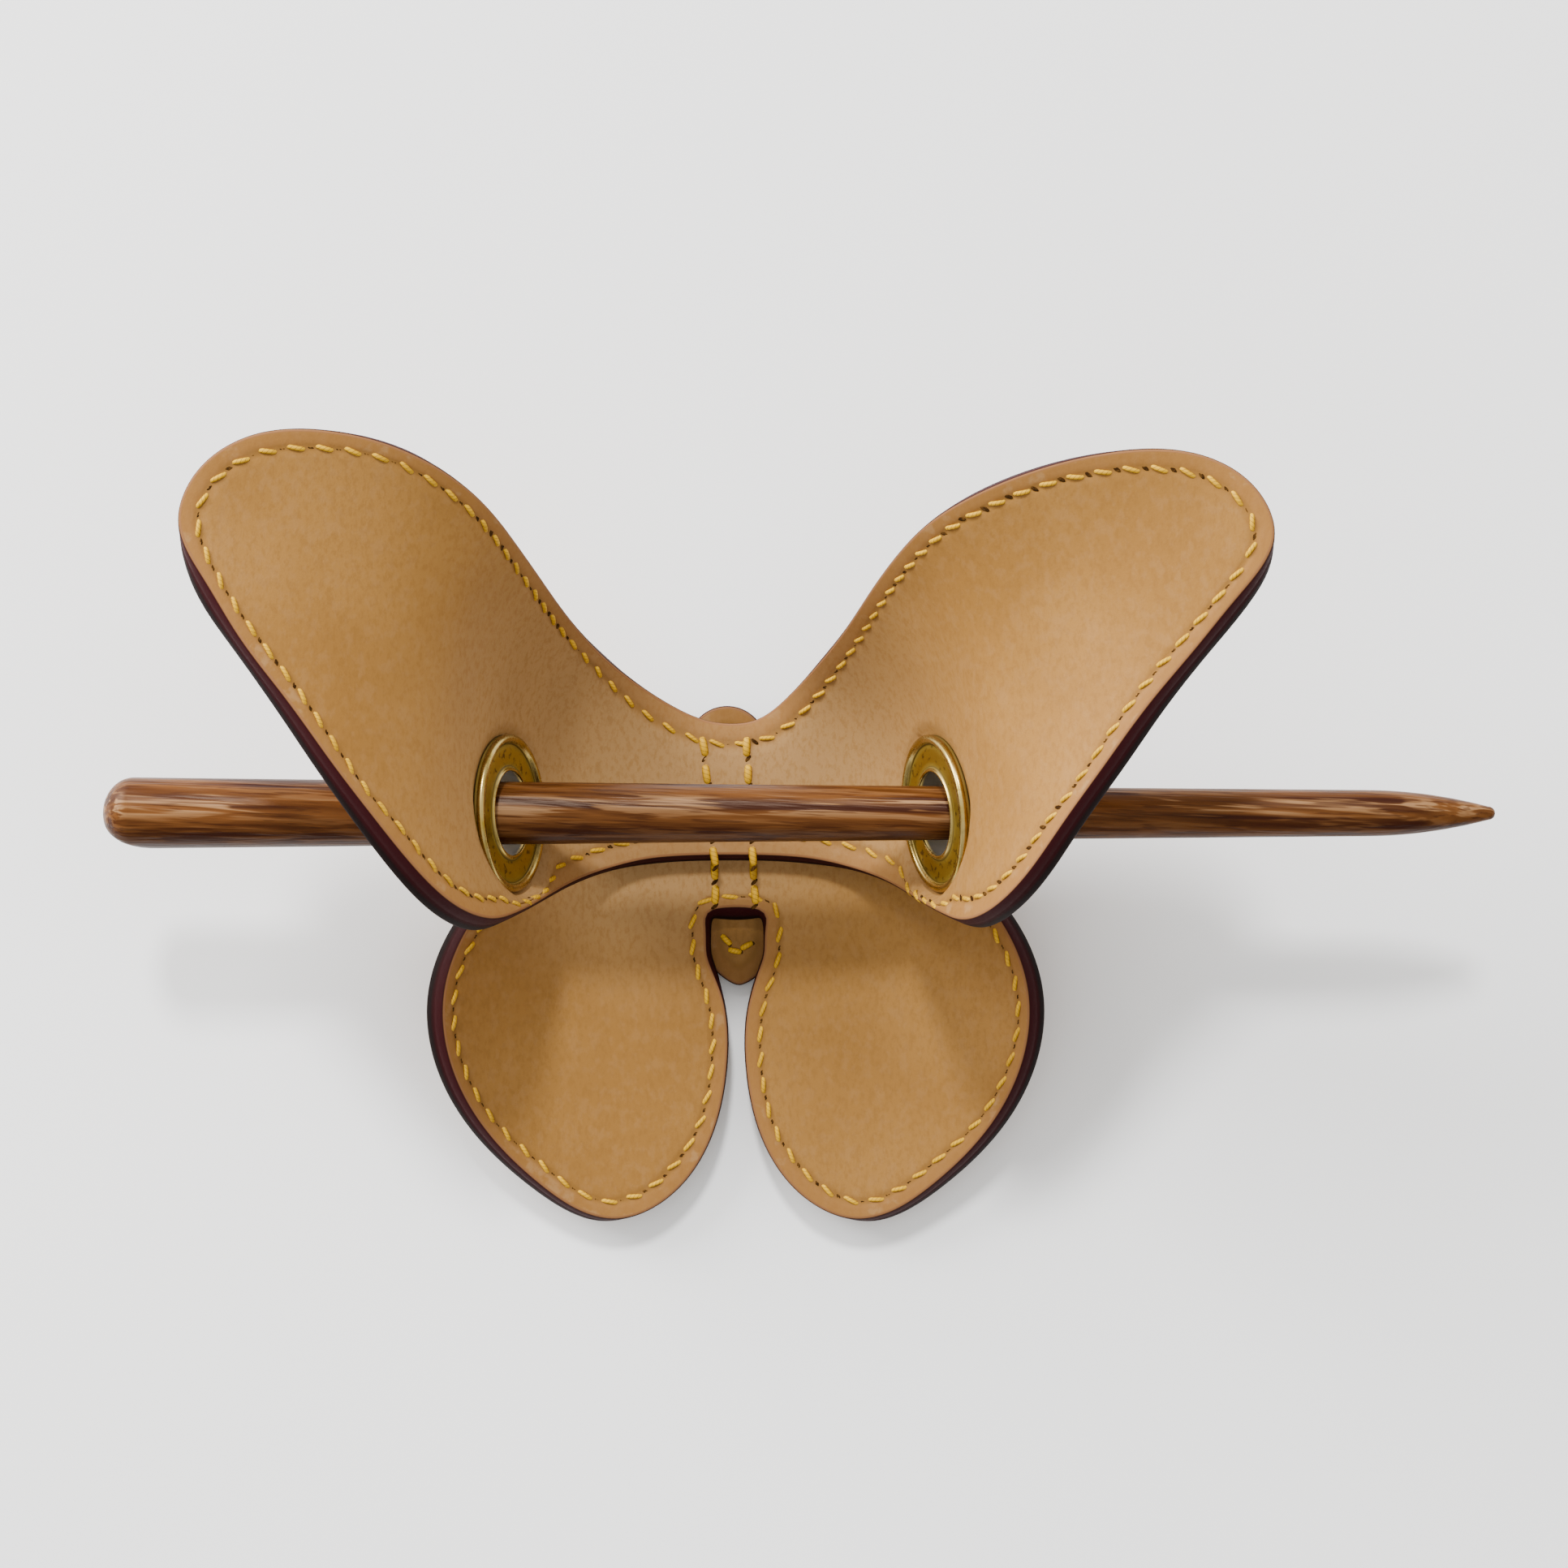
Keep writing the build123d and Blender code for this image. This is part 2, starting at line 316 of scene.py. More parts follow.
class Nodes:
    """A node tree with short ways to add and join nodes."""

    def __init__(self, tree: NodeTree) -> None:
        """Take the tree."""
        self.tree = tree

    def feed(self, target: NodeSocket, value: object) -> None:
        """Link a socket to an input, or set the input to a plain value."""
        if isinstance(value, NodeSocket):
            self.tree.links.new(value, target)
        else:
            target.default_value = value

    def add(self, kind: str, feeds: dict[str | int, object] | None = None, **settings: object) -> Node:
        """Add a node.

        Args:
            kind: The node's type.
            feeds: Sockets or plain values for its inputs, by name or number.
            **settings: Its properties, which are set first.

        Returns:
            The node.
        """
        node = self.tree.nodes.new(kind)
        for key, value in settings.items():
            setattr(node, key, value)
        for key, value in (feeds or {}).items():
            self.feed(node.inputs[key], value)
        return node

    def math(self, operation: str, *values: object) -> NodeSocket:
        """A Math node on sockets or numbers."""
        return self.add("ShaderNodeMath", dict(enumerate(values)), operation=operation).outputs[0]

    def times(self, first: object, second: object) -> NodeSocket:
        """The product of two sockets or numbers."""
        return self.math("MULTIPLY", first, second)

    def scaled(self, value: object, by: float, plus: object) -> NodeSocket:
        """A value times one number, plus another number or socket."""
        return self.math("MULTIPLY_ADD", value, by, plus)


@dataclass(frozen=True)
class Grain:
    """A noise pattern: features per metre, octaves, strength of the finer ones, distortion, stretch and turn."""

    scale: float
    detail: float = 3.0
    rough: float = 0.5
    warp: float = 0.0
    stretch: Spot | None = None
    turn: Spot = (0.0, 0.0, 0.0)


class NodeSheet(Nodes):
    """A material's nodes, round one Principled shader."""

    def __init__(self, name: str) -> None:
        """Start a material with its shader and its output."""
        self.material = bpy.data.materials.new(name)
        self.material.use_nodes = True
        super().__init__(self.material.node_tree)
        self.tree.nodes.clear()
        self.shader = self.add("ShaderNodeBsdfPrincipled")
        self.add("ShaderNodeOutputMaterial", {"Surface": self.shader.outputs["BSDF"]})
        self.place = self.add("ShaderNodeTexCoord").outputs["Object"]

    def surface(self, channels: dict[str, object]) -> Material:
        """Feed the shader's inputs and return the material."""
        for label, value in channels.items():
            self.feed(self.shader.inputs[label], value)
        return self.material

    def noise(self, grain: Grain) -> NodeSocket:
        """A noise pattern between 0 and 1, in the object's coordinates."""
        place = self.place
        if grain.stretch:
            turned = self.add("ShaderNodeMapping", {"Rotation": grain.turn, "Vector": place}).outputs["Vector"]
            place = self.add("ShaderNodeMapping", {"Scale": grain.stretch, "Vector": turned}).outputs["Vector"]
        return self.add("ShaderNodeTexNoise", {"Vector": place, "Scale": grain.scale, "Detail": grain.detail,
                                               "Roughness": grain.rough, "Distortion": grain.warp}).outputs["Fac"]

    def number(self, name: str) -> NodeSocket:
        """A number stored on the mesh under a name."""
        return self.add("ShaderNodeAttribute", attribute_name=name).outputs["Fac"]

    def band(self, value: object, low: float, high: float) -> NodeSocket:
        """A smooth rise from 0 at low to 1 at high, or a fall where low is above high."""
        limits = {"From Min": min(low, high), "From Max": max(low, high),
                  "To Min": float(low > high), "To Max": float(low < high)}
        return self.add("ShaderNodeMapRange", {"Value": value, **limits},
                        interpolation_type="SMOOTHSTEP").outputs["Result"]

    def patch(self, value: object, low: float, high: float, share: float) -> NodeSocket:
        """A band that rises to a share instead of 1."""
        return self.times(self.band(value, low, high), share)

    def ramp(self, value: NodeSocket, stops: Sequence[tuple[float, Colour]]) -> NodeSocket:
        """A colour for each stretch of a value."""
        node = self.add("ShaderNodeValToRGB", {"Fac": value})
        elements = node.color_ramp.elements
        while len(elements) < len(stops):
            elements.new(0.5)
        for element, (position, colour) in zip(elements, stops):
            element.position = position
            element.color = (*colour, 1.0)
        return node.outputs["Color"]

    def mix(self, share: object, first: object, second: object) -> NodeSocket:
        """Mix two colours, given as colours or sockets; a share of 0 gives the first one."""
        first, second = (value if isinstance(value, NodeSocket) else (*value, 1.0)
                         for value in (first, second))
        return self.add("ShaderNodeMix", {"Factor": share, 6: first, 7: second}, data_type="RGBA").outputs[2]

    def layers(self, colour: object, coats: Sequence[tuple[object, object]]) -> NodeSocket:
        """Lay tones over a colour, one after the other and each by its share."""
        for share, tone in coats:
            colour = self.mix(share, colour, tone)
        return colour

    def bump(self, height: NodeSocket, depth: float, strength: float = 1.0,
             under: NodeSocket | None = None) -> NodeSocket:
        """A bumped normal; depth is in metres, and under is a normal that it adds to."""
        feeds = {"Distance": depth, "Strength": strength, "Height": height}
        if under is not None:
            feeds["Normal"] = under
        return self.add("ShaderNodeBump", feeds).outputs["Normal"]


@dataclass(frozen=True)
class LeatherFinish:
    """Natural tan leather with a burnished margin, painted edges, painted light that pales the shaded bend round the
    waist, and painted shade along the stitch ditch.
    """

    name: str = "leather"
    base: Colour = (0.253, 0.120, 0.027)
    pale: Colour = (0.295, 0.145, 0.036)
    deep: Colour = (0.200, 0.090, 0.018)
    margin: Colour = (0.262, 0.116, 0.031)
    worn: Colour = (0.330, 0.180, 0.070)
    # Painted shade: a darker tone laid along the sunk stitch ditch
    ditch: Colour = (0.200, 0.093, 0.018)
    chamfer: Colour = (0.235, 0.105, 0.040)
    # Painted light: a paler, less saturated tone that lightens the shaded bend round the waist
    painted_light: Colour = (0.345, 0.200, 0.080)
    paint: Colour = (0.024, 0.0016, 0.0032)
    paint_dark: Colour = (0.004, 0.0010, 0.0012)
    # Middle, reach from full to none in metres, and share of the painted light round the waist
    painted_light_middle: Spot = (-0.009, 0.006, 0.006)
    painted_light_reach: Pair = (0.054, 0.016)
    painted_light_share: float = 0.85
    blotch: Grain = Grain(55.0, 2.0, 0.45)
    fibre: Grain = Grain(1900.0, 3.0, 0.65, stretch=(1.0, 0.5, 0.7))
    pores: Grain = Grain(3600.0, 2.0, 0.6)
    flecks: Grain = Grain(260.0, 4.0, 0.6)
    mottle: Grain = Grain(800.0, 3.0, 0.6, stretch=(1.0, 0.7, 0.8))
    pale_reach: Pair = (0.35, 0.68)
    fibre_patch: Patch = (0.44, 0.66, 0.36)
    mottle_patch: Patch = (0.46, 0.66, 0.22)
    pores_patch: Patch = (0.5, 0.8, 0.16)
    flecks_patch: Patch = (0.56, 0.66, 0.65)
    # Depths from the edge, in millimetres, between which a tone comes up
    margin_from: Pair = (2.6, 1.4)
    flecks_from: Pair = (2.2, 1.2)
    chamfer_from: Pair = (0.46, 0.34)
    chamfer_to: Pair = (0.10, 0.18)
    paint_from: Pair = (0.20, 0.10)
    # Reach above and below the stitch line, and share, of the painted shade along the ditch
    ditch_sides: Pair = (0.9, 0.7)
    ditch_shade_share: float = 0.6
    # Heights on the edge, from 0 at the outer face to 1 at the hair face, of the dark and the plain paint
    paint_levels: Sequence[float] = (0.0, 0.30, 0.50, 0.92, 1.0)
    gloss: float = 0.12
    gloss_tint: Colour = (1.0, 0.78, 0.70)

    def toned(self, name: str, share: float, painted_light_reach: Pair) -> "LeatherFinish":
        """The same leather with its face colours scaled by a share, and its own reach of the painted light."""
        faces = ("base", "pale", "deep", "margin", "worn", "ditch", "chamfer")
        scaled = {key: tuple(channel * share for channel in getattr(self, key)) for key in faces}
        return replace(self, name=name, painted_light_reach=painted_light_reach, **scaled)

    def _face(self, s: NodeSheet, fibre: NodeSocket, blotch: NodeSocket, pores: NodeSocket) -> NodeSocket:
        """Colour of the leather's face, with painted light that pales the shaded bend round the waist.

        Args:
            s: The material's nodes.
            fibre: Noise of the short fibres.
            blotch: Noise of the broad tones.
            pores: Noise of the pores.

        Returns:
            The colour's socket.
        """
        # Painted light: the leather is paled within a reach of a point at the waist
        reach = s.add("ShaderNodeVectorMath", {0: s.place, 1: self.painted_light_middle}, operation="DISTANCE")
        return s.layers(self.base, (
            (s.band(blotch, *self.pale_reach), self.pale),
            (s.patch(reach.outputs["Value"], *self.painted_light_reach, self.painted_light_share), self.painted_light),
            (s.patch(fibre, *self.fibre_patch), self.deep),
            (s.patch(s.noise(self.mottle), *self.mottle_patch), self.worn),
            (s.patch(pores, *self.pores_patch), self.deep)))

    def build(self) -> Material:
        """Make the material."""
        s = NodeSheet(self.name)
        depth, level = s.number("edge_depth"), s.number("edge_level")
        blotch, fibre, pores = (s.noise(grain) for grain in (self.blotch, self.fibre, self.pores))
        margin = s.times(s.band(depth, *self.margin_from), s.scaled(blotch, 0.8, 0.1))
        spots = s.times(s.band(depth, *self.flecks_from), s.patch(s.noise(self.flecks), *self.flecks_patch))
        # Painted shade along the stitch ditch
        above, below = self.ditch_sides
        groove = s.times(s.band(depth, STITCH_DEPTH - below, STITCH_DEPTH),
                         s.patch(depth, STITCH_DEPTH + above, STITCH_DEPTH, self.ditch_shade_share))
        bare = s.times(s.band(depth, *self.chamfer_from), s.band(depth, *self.chamfer_to))
        painted = s.band(depth, *self.paint_from)
        coat = s.ramp(s.scaled(level, 0.5, 0.5), list(zip(self.paint_levels, (
            self.paint_dark, self.paint_dark, self.paint, self.paint, self.paint_dark))))
        colour = s.layers(self._face(s, fibre, blotch, pores), (
            (margin, self.margin), (spots, self.worn), (groove, self.ditch), (bare, self.chamfer), (painted, coat)))
        return s.surface({
            "Base Color": colour,
            "Roughness": s.math("ADD", s.scaled(fibre, 0.14, 0.46), s.times(painted, 0.12)),
            "Specular IOR Level": self.gloss, "Specular Tint": (*self.gloss_tint, 1.0),
            "Normal": s.bump(fibre, 0.00008, 0.25, s.bump(pores, 0.00004, 0.35))})


@dataclass(frozen=True)
class ThreadFinish:
    """Waxed yellow linen thread with two twisted strands."""

    name: str = "thread"
    light: Colour = (0.58, 0.315, 0.008)
    shade: Colour = (0.30, 0.145, 0.005)
    uv_name: str = "thread_uv"
    twists: float = 5.0
    strands: float = 2.0
    groove: float = 0.14
    cloud: Grain = Grain(160.0)
    cloud_patch: Patch = (0.5, 0.7, 0.45)

    def build(self) -> Material:
        """Make the material."""
        s = NodeSheet(self.name)
        uv = s.add("ShaderNodeUVMap", uv_map=self.uv_name).outputs["UV"]
        parts = s.add("ShaderNodeSeparateXYZ", {"Vector": uv}).outputs
        twist = s.math("ADD", s.times(parts["X"], self.twists), s.times(parts["Y"], self.strands))
        groove = s.band(s.math("PINGPONG", twist, 0.5), 0.0, self.groove)
        colour = s.mix(groove, self.shade, self.light)
        colour = s.mix(s.patch(s.noise(self.cloud), *self.cloud_patch), colour, self.shade)
        return s.surface({"Base Color": colour, "Roughness": 0.5, "Specular IOR Level": 0.2,
                          "Normal": s.bump(groove, 0.00005, 0.5)})


@dataclass(frozen=True)
class HoleShadeFinish:
    """Painted shade of an awl hole's depth, on the torn leather inside it: near-black brown."""

    name: str = "awl_hole"
    dark: Colour = (0.026, 0.010, 0.002)
    brown: Colour = (0.090, 0.040, 0.008)
    fibres: Grain = Grain(2600.0, 3.0, 0.6)

    def build(self) -> Material:
        """Make the material."""
        s = NodeSheet(self.name)
        fibres = s.band(s.noise(self.fibres), 0.4, 0.7)
        return s.surface({"Base Color": s.mix(fibres, self.dark, self.brown), "Roughness": 0.85,
                          "Specular IOR Level": 0.05})


@dataclass(frozen=True)
class BrassFinish:
    """Aged brass: polished on its rims, olive and speckled on its flat face, with painted shade, dark and hardly
    metallic, in the bore, under the flange and in the grooves beside the lip and the rim.
    """

    name: str = "brass"
    bright: Colour = (0.42, 0.31, 0.105)
    aged: Colour = (0.336, 0.224, 0.022)
    # Dark colour of the real dirt specks and of the painted shade in the hollows
    tarnish_and_shade: Colour = (0.018, 0.008, 0.002)
    cloud: Grain = Grain(420.0, 4.0, 0.6)
    specks: Grain = Grain(1100.0, 3.0, 0.6)
    specks_patch: Patch = (0.55, 0.66, 0.75)
    bright_reach: Pair = (0.2, 0.6)

    def build(self) -> Material:
        """Make the material."""
        s = NodeSheet(self.name)
        worn, dark = s.number("polish"), s.number("painted_shade")
        cloud, specks = s.noise(self.cloud), s.noise(self.specks)
        colour = s.mix(s.times(worn, s.band(cloud, *self.bright_reach)), self.aged, self.bright)
        dirt = s.times(s.patch(specks, *self.specks_patch), s.scaled(worn, -0.8, 1.0))
        return s.surface({
            # Painted shade: the shaded hollows take the dark colour and lose their metal reflection; the specks are
            # real dirt
            "Base Color": s.mix(s.math("MAXIMUM", dirt, dark), colour, self.tarnish_and_shade),
            "Metallic": s.scaled(dark, -0.9, 1.0), "Specular IOR Level": 0.2,
            "Roughness": s.scaled(worn, -0.20, s.scaled(cloud, 0.25, 0.34)),
            "Normal": s.bump(cloud, 0.00006, 0.3)})


@dataclass(frozen=True)
class WoodFinish:
    """Dark reddish brown wood with long open grain, oiled and rubbed, with a painted highlight in a band along the
    stick and painted shade towards its -Y side.
    """

    name: str = "wood"
    black: Colour = (0.024, 0.0042, 0.0012)
    brown: Colour = (0.066, 0.021, 0.004)
    red: Colour = (0.115, 0.041, 0.009)
    # The pale tone is a painted highlight
    pale: Colour = (0.260, 0.140, 0.062)
    # Painted highlight: a band across y, low, middle and high in metres, a little to the +Y side of the axis; painted
    # shade: y from 0 to -3.2 mm
    highlight_band: Spot = (-0.0010, 0.0009, 0.0024)
    shade_side: Pair = (0.0, -0.0032)
    # Stretch and turn of the long grain, then scale, octaves, finer octaves' strength and distortion of each pattern
    lie: tuple[Spot, Spot] = ((0.055, 1.0, 1.0), (0.35, 0.0, 0.05))
    pores_lie: tuple[Spot, Spot] = ((0.05, 1.0, 1.0), (0.35, 0.0, 0.05))
    broad: tuple[float, ...] = (460.0, 2.0, 0.5, 0.4)
    streak: tuple[float, ...] = (1300.0, 2.0, 0.55, 0.4)
    pores: tuple[float, ...] = (2900.0, 2.0, 0.5, 0.0)
    streak_patch: Patch = (0.52, 0.60, 0.7)
    pores_patch: Patch = (0.56, 0.64, 0.5)
    tones: Sequence[float] = (0.34, 0.43, 0.53, 0.64)
    waver: float = 0.004
    gloss: float = 0.14
    gloss_tint: Colour = (1.0, 0.78, 0.60)

    def build(self) -> Material:
        """Make the material."""
        s = NodeSheet(self.name)
        broad, streak = (s.noise(Grain(*grain, *self.lie)) for grain in (self.broad, self.streak))
        pores = s.noise(Grain(*self.pores, *self.pores_lie))
        across = s.math("ADD", s.add("ShaderNodeSeparateXYZ", {"Vector": s.place}).outputs["Y"],
                        s.scaled(broad, self.waver, -self.waver / 2))
        # Painted highlight in a band along the stick, and painted shade growing towards -Y, away from the key light
        low, middle, high = self.highlight_band
        highlight_mask = s.times(s.band(across, low, middle), s.band(across, high, middle))
        shade_mask = s.band(across, *self.shade_side)
        gleam = s.times(s.band(streak, 0.50, 0.62), s.scaled(highlight_mask, 0.75, 0.12))
        shade = s.times(s.band(streak, 0.50, 0.40), s.scaled(shade_mask, 0.66, 0.20))
        colour = s.ramp(broad, list(zip(self.tones, (self.black, self.brown, self.red, self.brown))))
        colour = s.layers(colour, (
            (s.patch(streak, *self.streak_patch), self.red), (gleam, self.pale), (shade, self.black),
            (s.times(shade_mask, 0.45), self.black), (s.patch(pores, *self.pores_patch), self.black)))
        return s.surface({
            "Base Color": colour, "Roughness": s.scaled(streak, 0.25, 0.24),
            "Specular IOR Level": self.gloss, "Specular Tint": (*self.gloss_tint, 1.0),
            "Normal": s.bump(pores, 0.0001, 0.4, s.bump(streak, 0.00025, 0.5))})


@dataclass(frozen=True)
class FloorFinish:
    """A plain pale table."""

    name: str = "table"
    white: Colour = (0.93, 0.93, 0.93)
    grey: Colour = (0.90, 0.90, 0.90)
    cloud: Grain = Grain(14.0)

    def build(self) -> Material:
        """Make the material."""
        s = NodeSheet(self.name)
        return s.surface({"Base Color": s.mix(s.noise(self.cloud), self.white, self.grey), "Roughness": 0.9})


# Stitching


@dataclass
class StitchLine:
    """A run of stitches on a leather face: points and outward normals, in millimetres."""

    points: Array
    normals: Array
    closed: bool = False

    def kept(self, keep: Array) -> list["StitchLine"]:
        """Split the line into the stretches where keep is true.

        Args:
            keep: One flag per point.

        Returns:
            The open stretches, or the whole line where nothing is left out.
        """
        if keep.all():
            return [self]
        order = np.arange(len(keep))
        if self.closed:
            order = np.roll(order, -int(np.argmin(keep)))
        runs: list[list[int]] = [[]]
        for i in order:
            if keep[i]:
                runs[-1].append(int(i))
            elif runs[-1]:
                runs.append([])
        return [StitchLine(self.points[r], self.normals[r]) for r in runs if len(r) > 2]


class StitchTree(Nodes):
    """A Geometry Nodes tree that lays a template shape along lines, at a pitch and a slant."""

    def __init__(self, name: str) -> None:
        """Build the tree with its named inputs."""
        super().__init__(bpy.data.node_groups.new(name, "GeometryNodeTree"))
        face = self.tree.interface
        self.sockets: dict[str, str] = {}
        for label, kind in (("Line", "Geometry"), ("Template", "Object"), ("Pitch", "Float"), ("Slant", "Float"),
                            ("Wander", "Float"), ("Seed", "Int"), ("Finish", "Material")):
            self.sockets[label] = face.new_socket(label, in_out="INPUT", socket_type=f"NodeSocket{kind}").identifier
        face.new_socket("Stitches", in_out="OUTPUT", socket_type="NodeSocketGeometry")
        self._wire()

    def _turned(self, given: NodeOutputs) -> NodeSocket:
        """Rotation of each stitch: up from the leather, along the line, then slanted by a random bit more or less."""
        normal = self.add("GeometryNodeInputNamedAttribute", {"Name": "surface_normal"}, data_type="FLOAT_VECTOR")
        upright = self.add("FunctionNodeAlignRotationToVector", {"Vector": normal.outputs["Attribute"]}, axis="Z")
        tangent = self.add("GeometryNodeInputTangent").outputs["Tangent"]
        along = self.add("FunctionNodeAlignRotationToVector",
                         {"Rotation": upright.outputs["Rotation"], "Vector": tangent}, axis="X", pivot_axis="Z")
        wander = self.add("FunctionNodeRandomValue", {"Seed": given["Seed"]}, data_type="FLOAT")
        least, most = [socket for socket in wander.inputs if socket.type == "VALUE"][:2]
        self.feed(least, self.times(given["Wander"], -1.0))
        self.feed(most, given["Wander"])
        stray = next(socket for socket in wander.outputs if socket.type == "VALUE")
        twist = self.add("FunctionNodeAxisAngleToRotation",
                         {"Axis": (0.0, 0.0, 1.0), "Angle": self.math("ADD", given["Slant"], stray)})
        return self.add("FunctionNodeRotateRotation", {
            "Rotation": along.outputs["Rotation"], "Rotate By": twist.outputs["Rotation"]},
            rotation_space="LOCAL").outputs["Rotation"]

    def _wire(self) -> None:
        """Add the nodes and join them."""
        given = self.add("NodeGroupInput").outputs
        curve = self.add("GeometryNodeMeshToCurve", {"Mesh": given["Line"]}).outputs["Curve"]
        steps = self.add("GeometryNodeResampleCurve", {"Curve": curve, "Length": given["Pitch"]}, mode="LENGTH")
        template = self.add("GeometryNodeObjectInfo", {"Object": given["Template"]}).outputs["Geometry"]
        laid = self.add("GeometryNodeInstanceOnPoints", {
            "Points": steps.outputs["Curve"], "Instance": template, "Rotation": self._turned(given)})
        real = self.add("GeometryNodeRealizeInstances", {"Geometry": laid.outputs["Instances"]})
        done = self.add("GeometryNodeSetMaterial", {
            "Geometry": real.outputs["Geometry"], "Material": given["Finish"]})
        self.add("NodeGroupOutput", {"Stitches": done.outputs["Geometry"]})

    def lay(self, name: str, lines: Sequence[StitchLine], template: Object,
            values: dict[str, object]) -> Object:
        """Lay the template along all lines and return one plain mesh.

        Args:
            name: Name of the new object.
            lines: The runs of stitches.
            template: Object of one stitch, along X, with Z out of the leather.
            values: The tree's other inputs, by label.

        Returns:
            The stitches as an object at the origin.
        """
        mesh = bpy.data.meshes.new(name)
        edges, offset = [], 0
        for line in lines:
            edges += run_edges(offset, len(line.points), line.closed)
            offset += len(line.points)
        mesh.from_pydata((np.concatenate([line.points for line in lines]) * MM).tolist(), edges, [])
        store = mesh.attributes.new("surface_normal", "FLOAT_VECTOR", "POINT")
        store.data.foreach_set("vector", np.concatenate([line.normals for line in lines]).astype(np.float32).ravel())
        made = linked(name, mesh)
        modifier = made.modifiers.new("Stitches", "NODES")
        modifier.node_group = self.tree
        for label, value in {**values, "Template": template}.items():
            modifier[self.sockets[label]] = value
        bpy.context.view_layer.update()
        graph = bpy.context.evaluated_depsgraph_get()
        plain = bpy.data.meshes.new_from_object(made.evaluated_get(graph), preserve_all_data_layers=True,
                                                depsgraph=graph)
        made.modifiers.clear()
        made.data = plain
        plain.name = name
        if "surface_normal" in plain.attributes:
            plain.attributes.remove(plain.attributes["surface_normal"])
        return made


@dataclass
class Stitching:
    """Saddle stitches: threads, and the awl holes that they dive into."""

    pitch: float = 3.13
    length: float = 2.55
    width: float = 0.56
    height: float = 0.44
    arch: float = 0.18
    dive: float = 0.34
    end_share: float = 0.62
    slant: float = -0.26
    wander: float = 0.12
    hole_length: float = 1.15
    hole_width: float = 0.46
    hole_slant: float = -0.85
    hole_sides: int = 8
    hole_rings: Sequence[Pair] = ((1.0, 0.035), (0.55, 0.045), (0.0, 0.02))
    hole_root: float = -0.12
    name: str = "stitches"
    sides: int = 6
    rings: int = 7
    thread: ThreadFinish = field(default_factory=ThreadFinish)
    hole: HoleShadeFinish = field(default_factory=HoleShadeFinish)

    def thread_template(self) -> Object:
        """One arched stitch along X, with a UV map along and round it."""
        turn = turns(self.sides)
        spans = self.rings - 1
        points = []
        for share in np.arange(self.rings) / spans:
            arch = 1 - abs(2 * share - 1) ** 3
            thick = self.end_share + (1 - self.end_share) * arch
            lift = self.arch * arch - self.dive * (1 - arch)
            points += [((share - 0.5) * self.length, math.cos(angle) * self.width / 2 * thick,
                        lift + math.sin(angle) * self.height / 2 * thick) for angle in turn]
        faces = strips(range(0, len(points), self.sides), self.sides)
        faces += [list(range(self.sides)), list(range(spans * self.sides, len(points)))]
        uv = [value for i in range(spans) for k in range(self.sides)
              for x, y in ((i, k), (i, k + 1), (i + 1, k + 1), (i + 1, k)) for value in (x / spans, y / self.sides)]
        uv += [0.5] * (4 * self.sides)
        made = new_object("thread_template", np.array(points), faces, outward=False)
        made.data.uv_layers.new(name=self.thread.uv_name).data.foreach_set("uv", uv)
        face_outwards(made.data)
        return made

    def hole_template(self) -> Object:
        """A slim almond-shaped awl hole half a pitch ahead, with a sunk middle, that carries the hole's painted shade.
        """
        count = self.hole_sides
        turn = turns(count)
        cos, sin = math.cos(self.hole_slant), math.sin(self.hole_slant)
        points = []
        for scale, height in self.hole_rings:
            for angle in turn if scale else [0.0]:
                x = math.cos(angle) * self.hole_length / 2 * scale
                y = math.sin(angle) * self.hole_width / 2 * scale
                points.append((self.pitch / 2 + x * cos - y * sin, x * sin + y * cos, height))
        points += [(x, y, self.hole_root) for x, y, _ in points[:count]]
        faces = strips((2 * count + 1, 0, count), count) + fan(2 * count, count, count)
        faces.append(list(range(3 * count, 2 * count, -1)))
        return new_object("hole_template", np.array(points), faces)

    def sew(self, lines: Sequence[StitchLine]) -> None:
        """Lay all stitches and their holes along runs of stitches."""
        tree = StitchTree(f"{self.name}_tree")
        for name, template, slant, seed, finish in (
                (self.name, self.thread_template(), self.slant, 3, self.thread),
                (f"{self.name}_holes", self.hole_template(), 0.0, 5, self.hole)):
            piece = tree.lay(name, lines, template, {"Pitch": self.pitch * MM, "Wander": self.wander, "Slant": slant,
                                                     "Seed": seed, "Finish": finish.build()})
            bpy.data.objects.remove(template)
            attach(piece, LEATHER_BODY)
            log.info("%s: %d faces", piece.name, len(piece.data.polygons))


# Leather walls


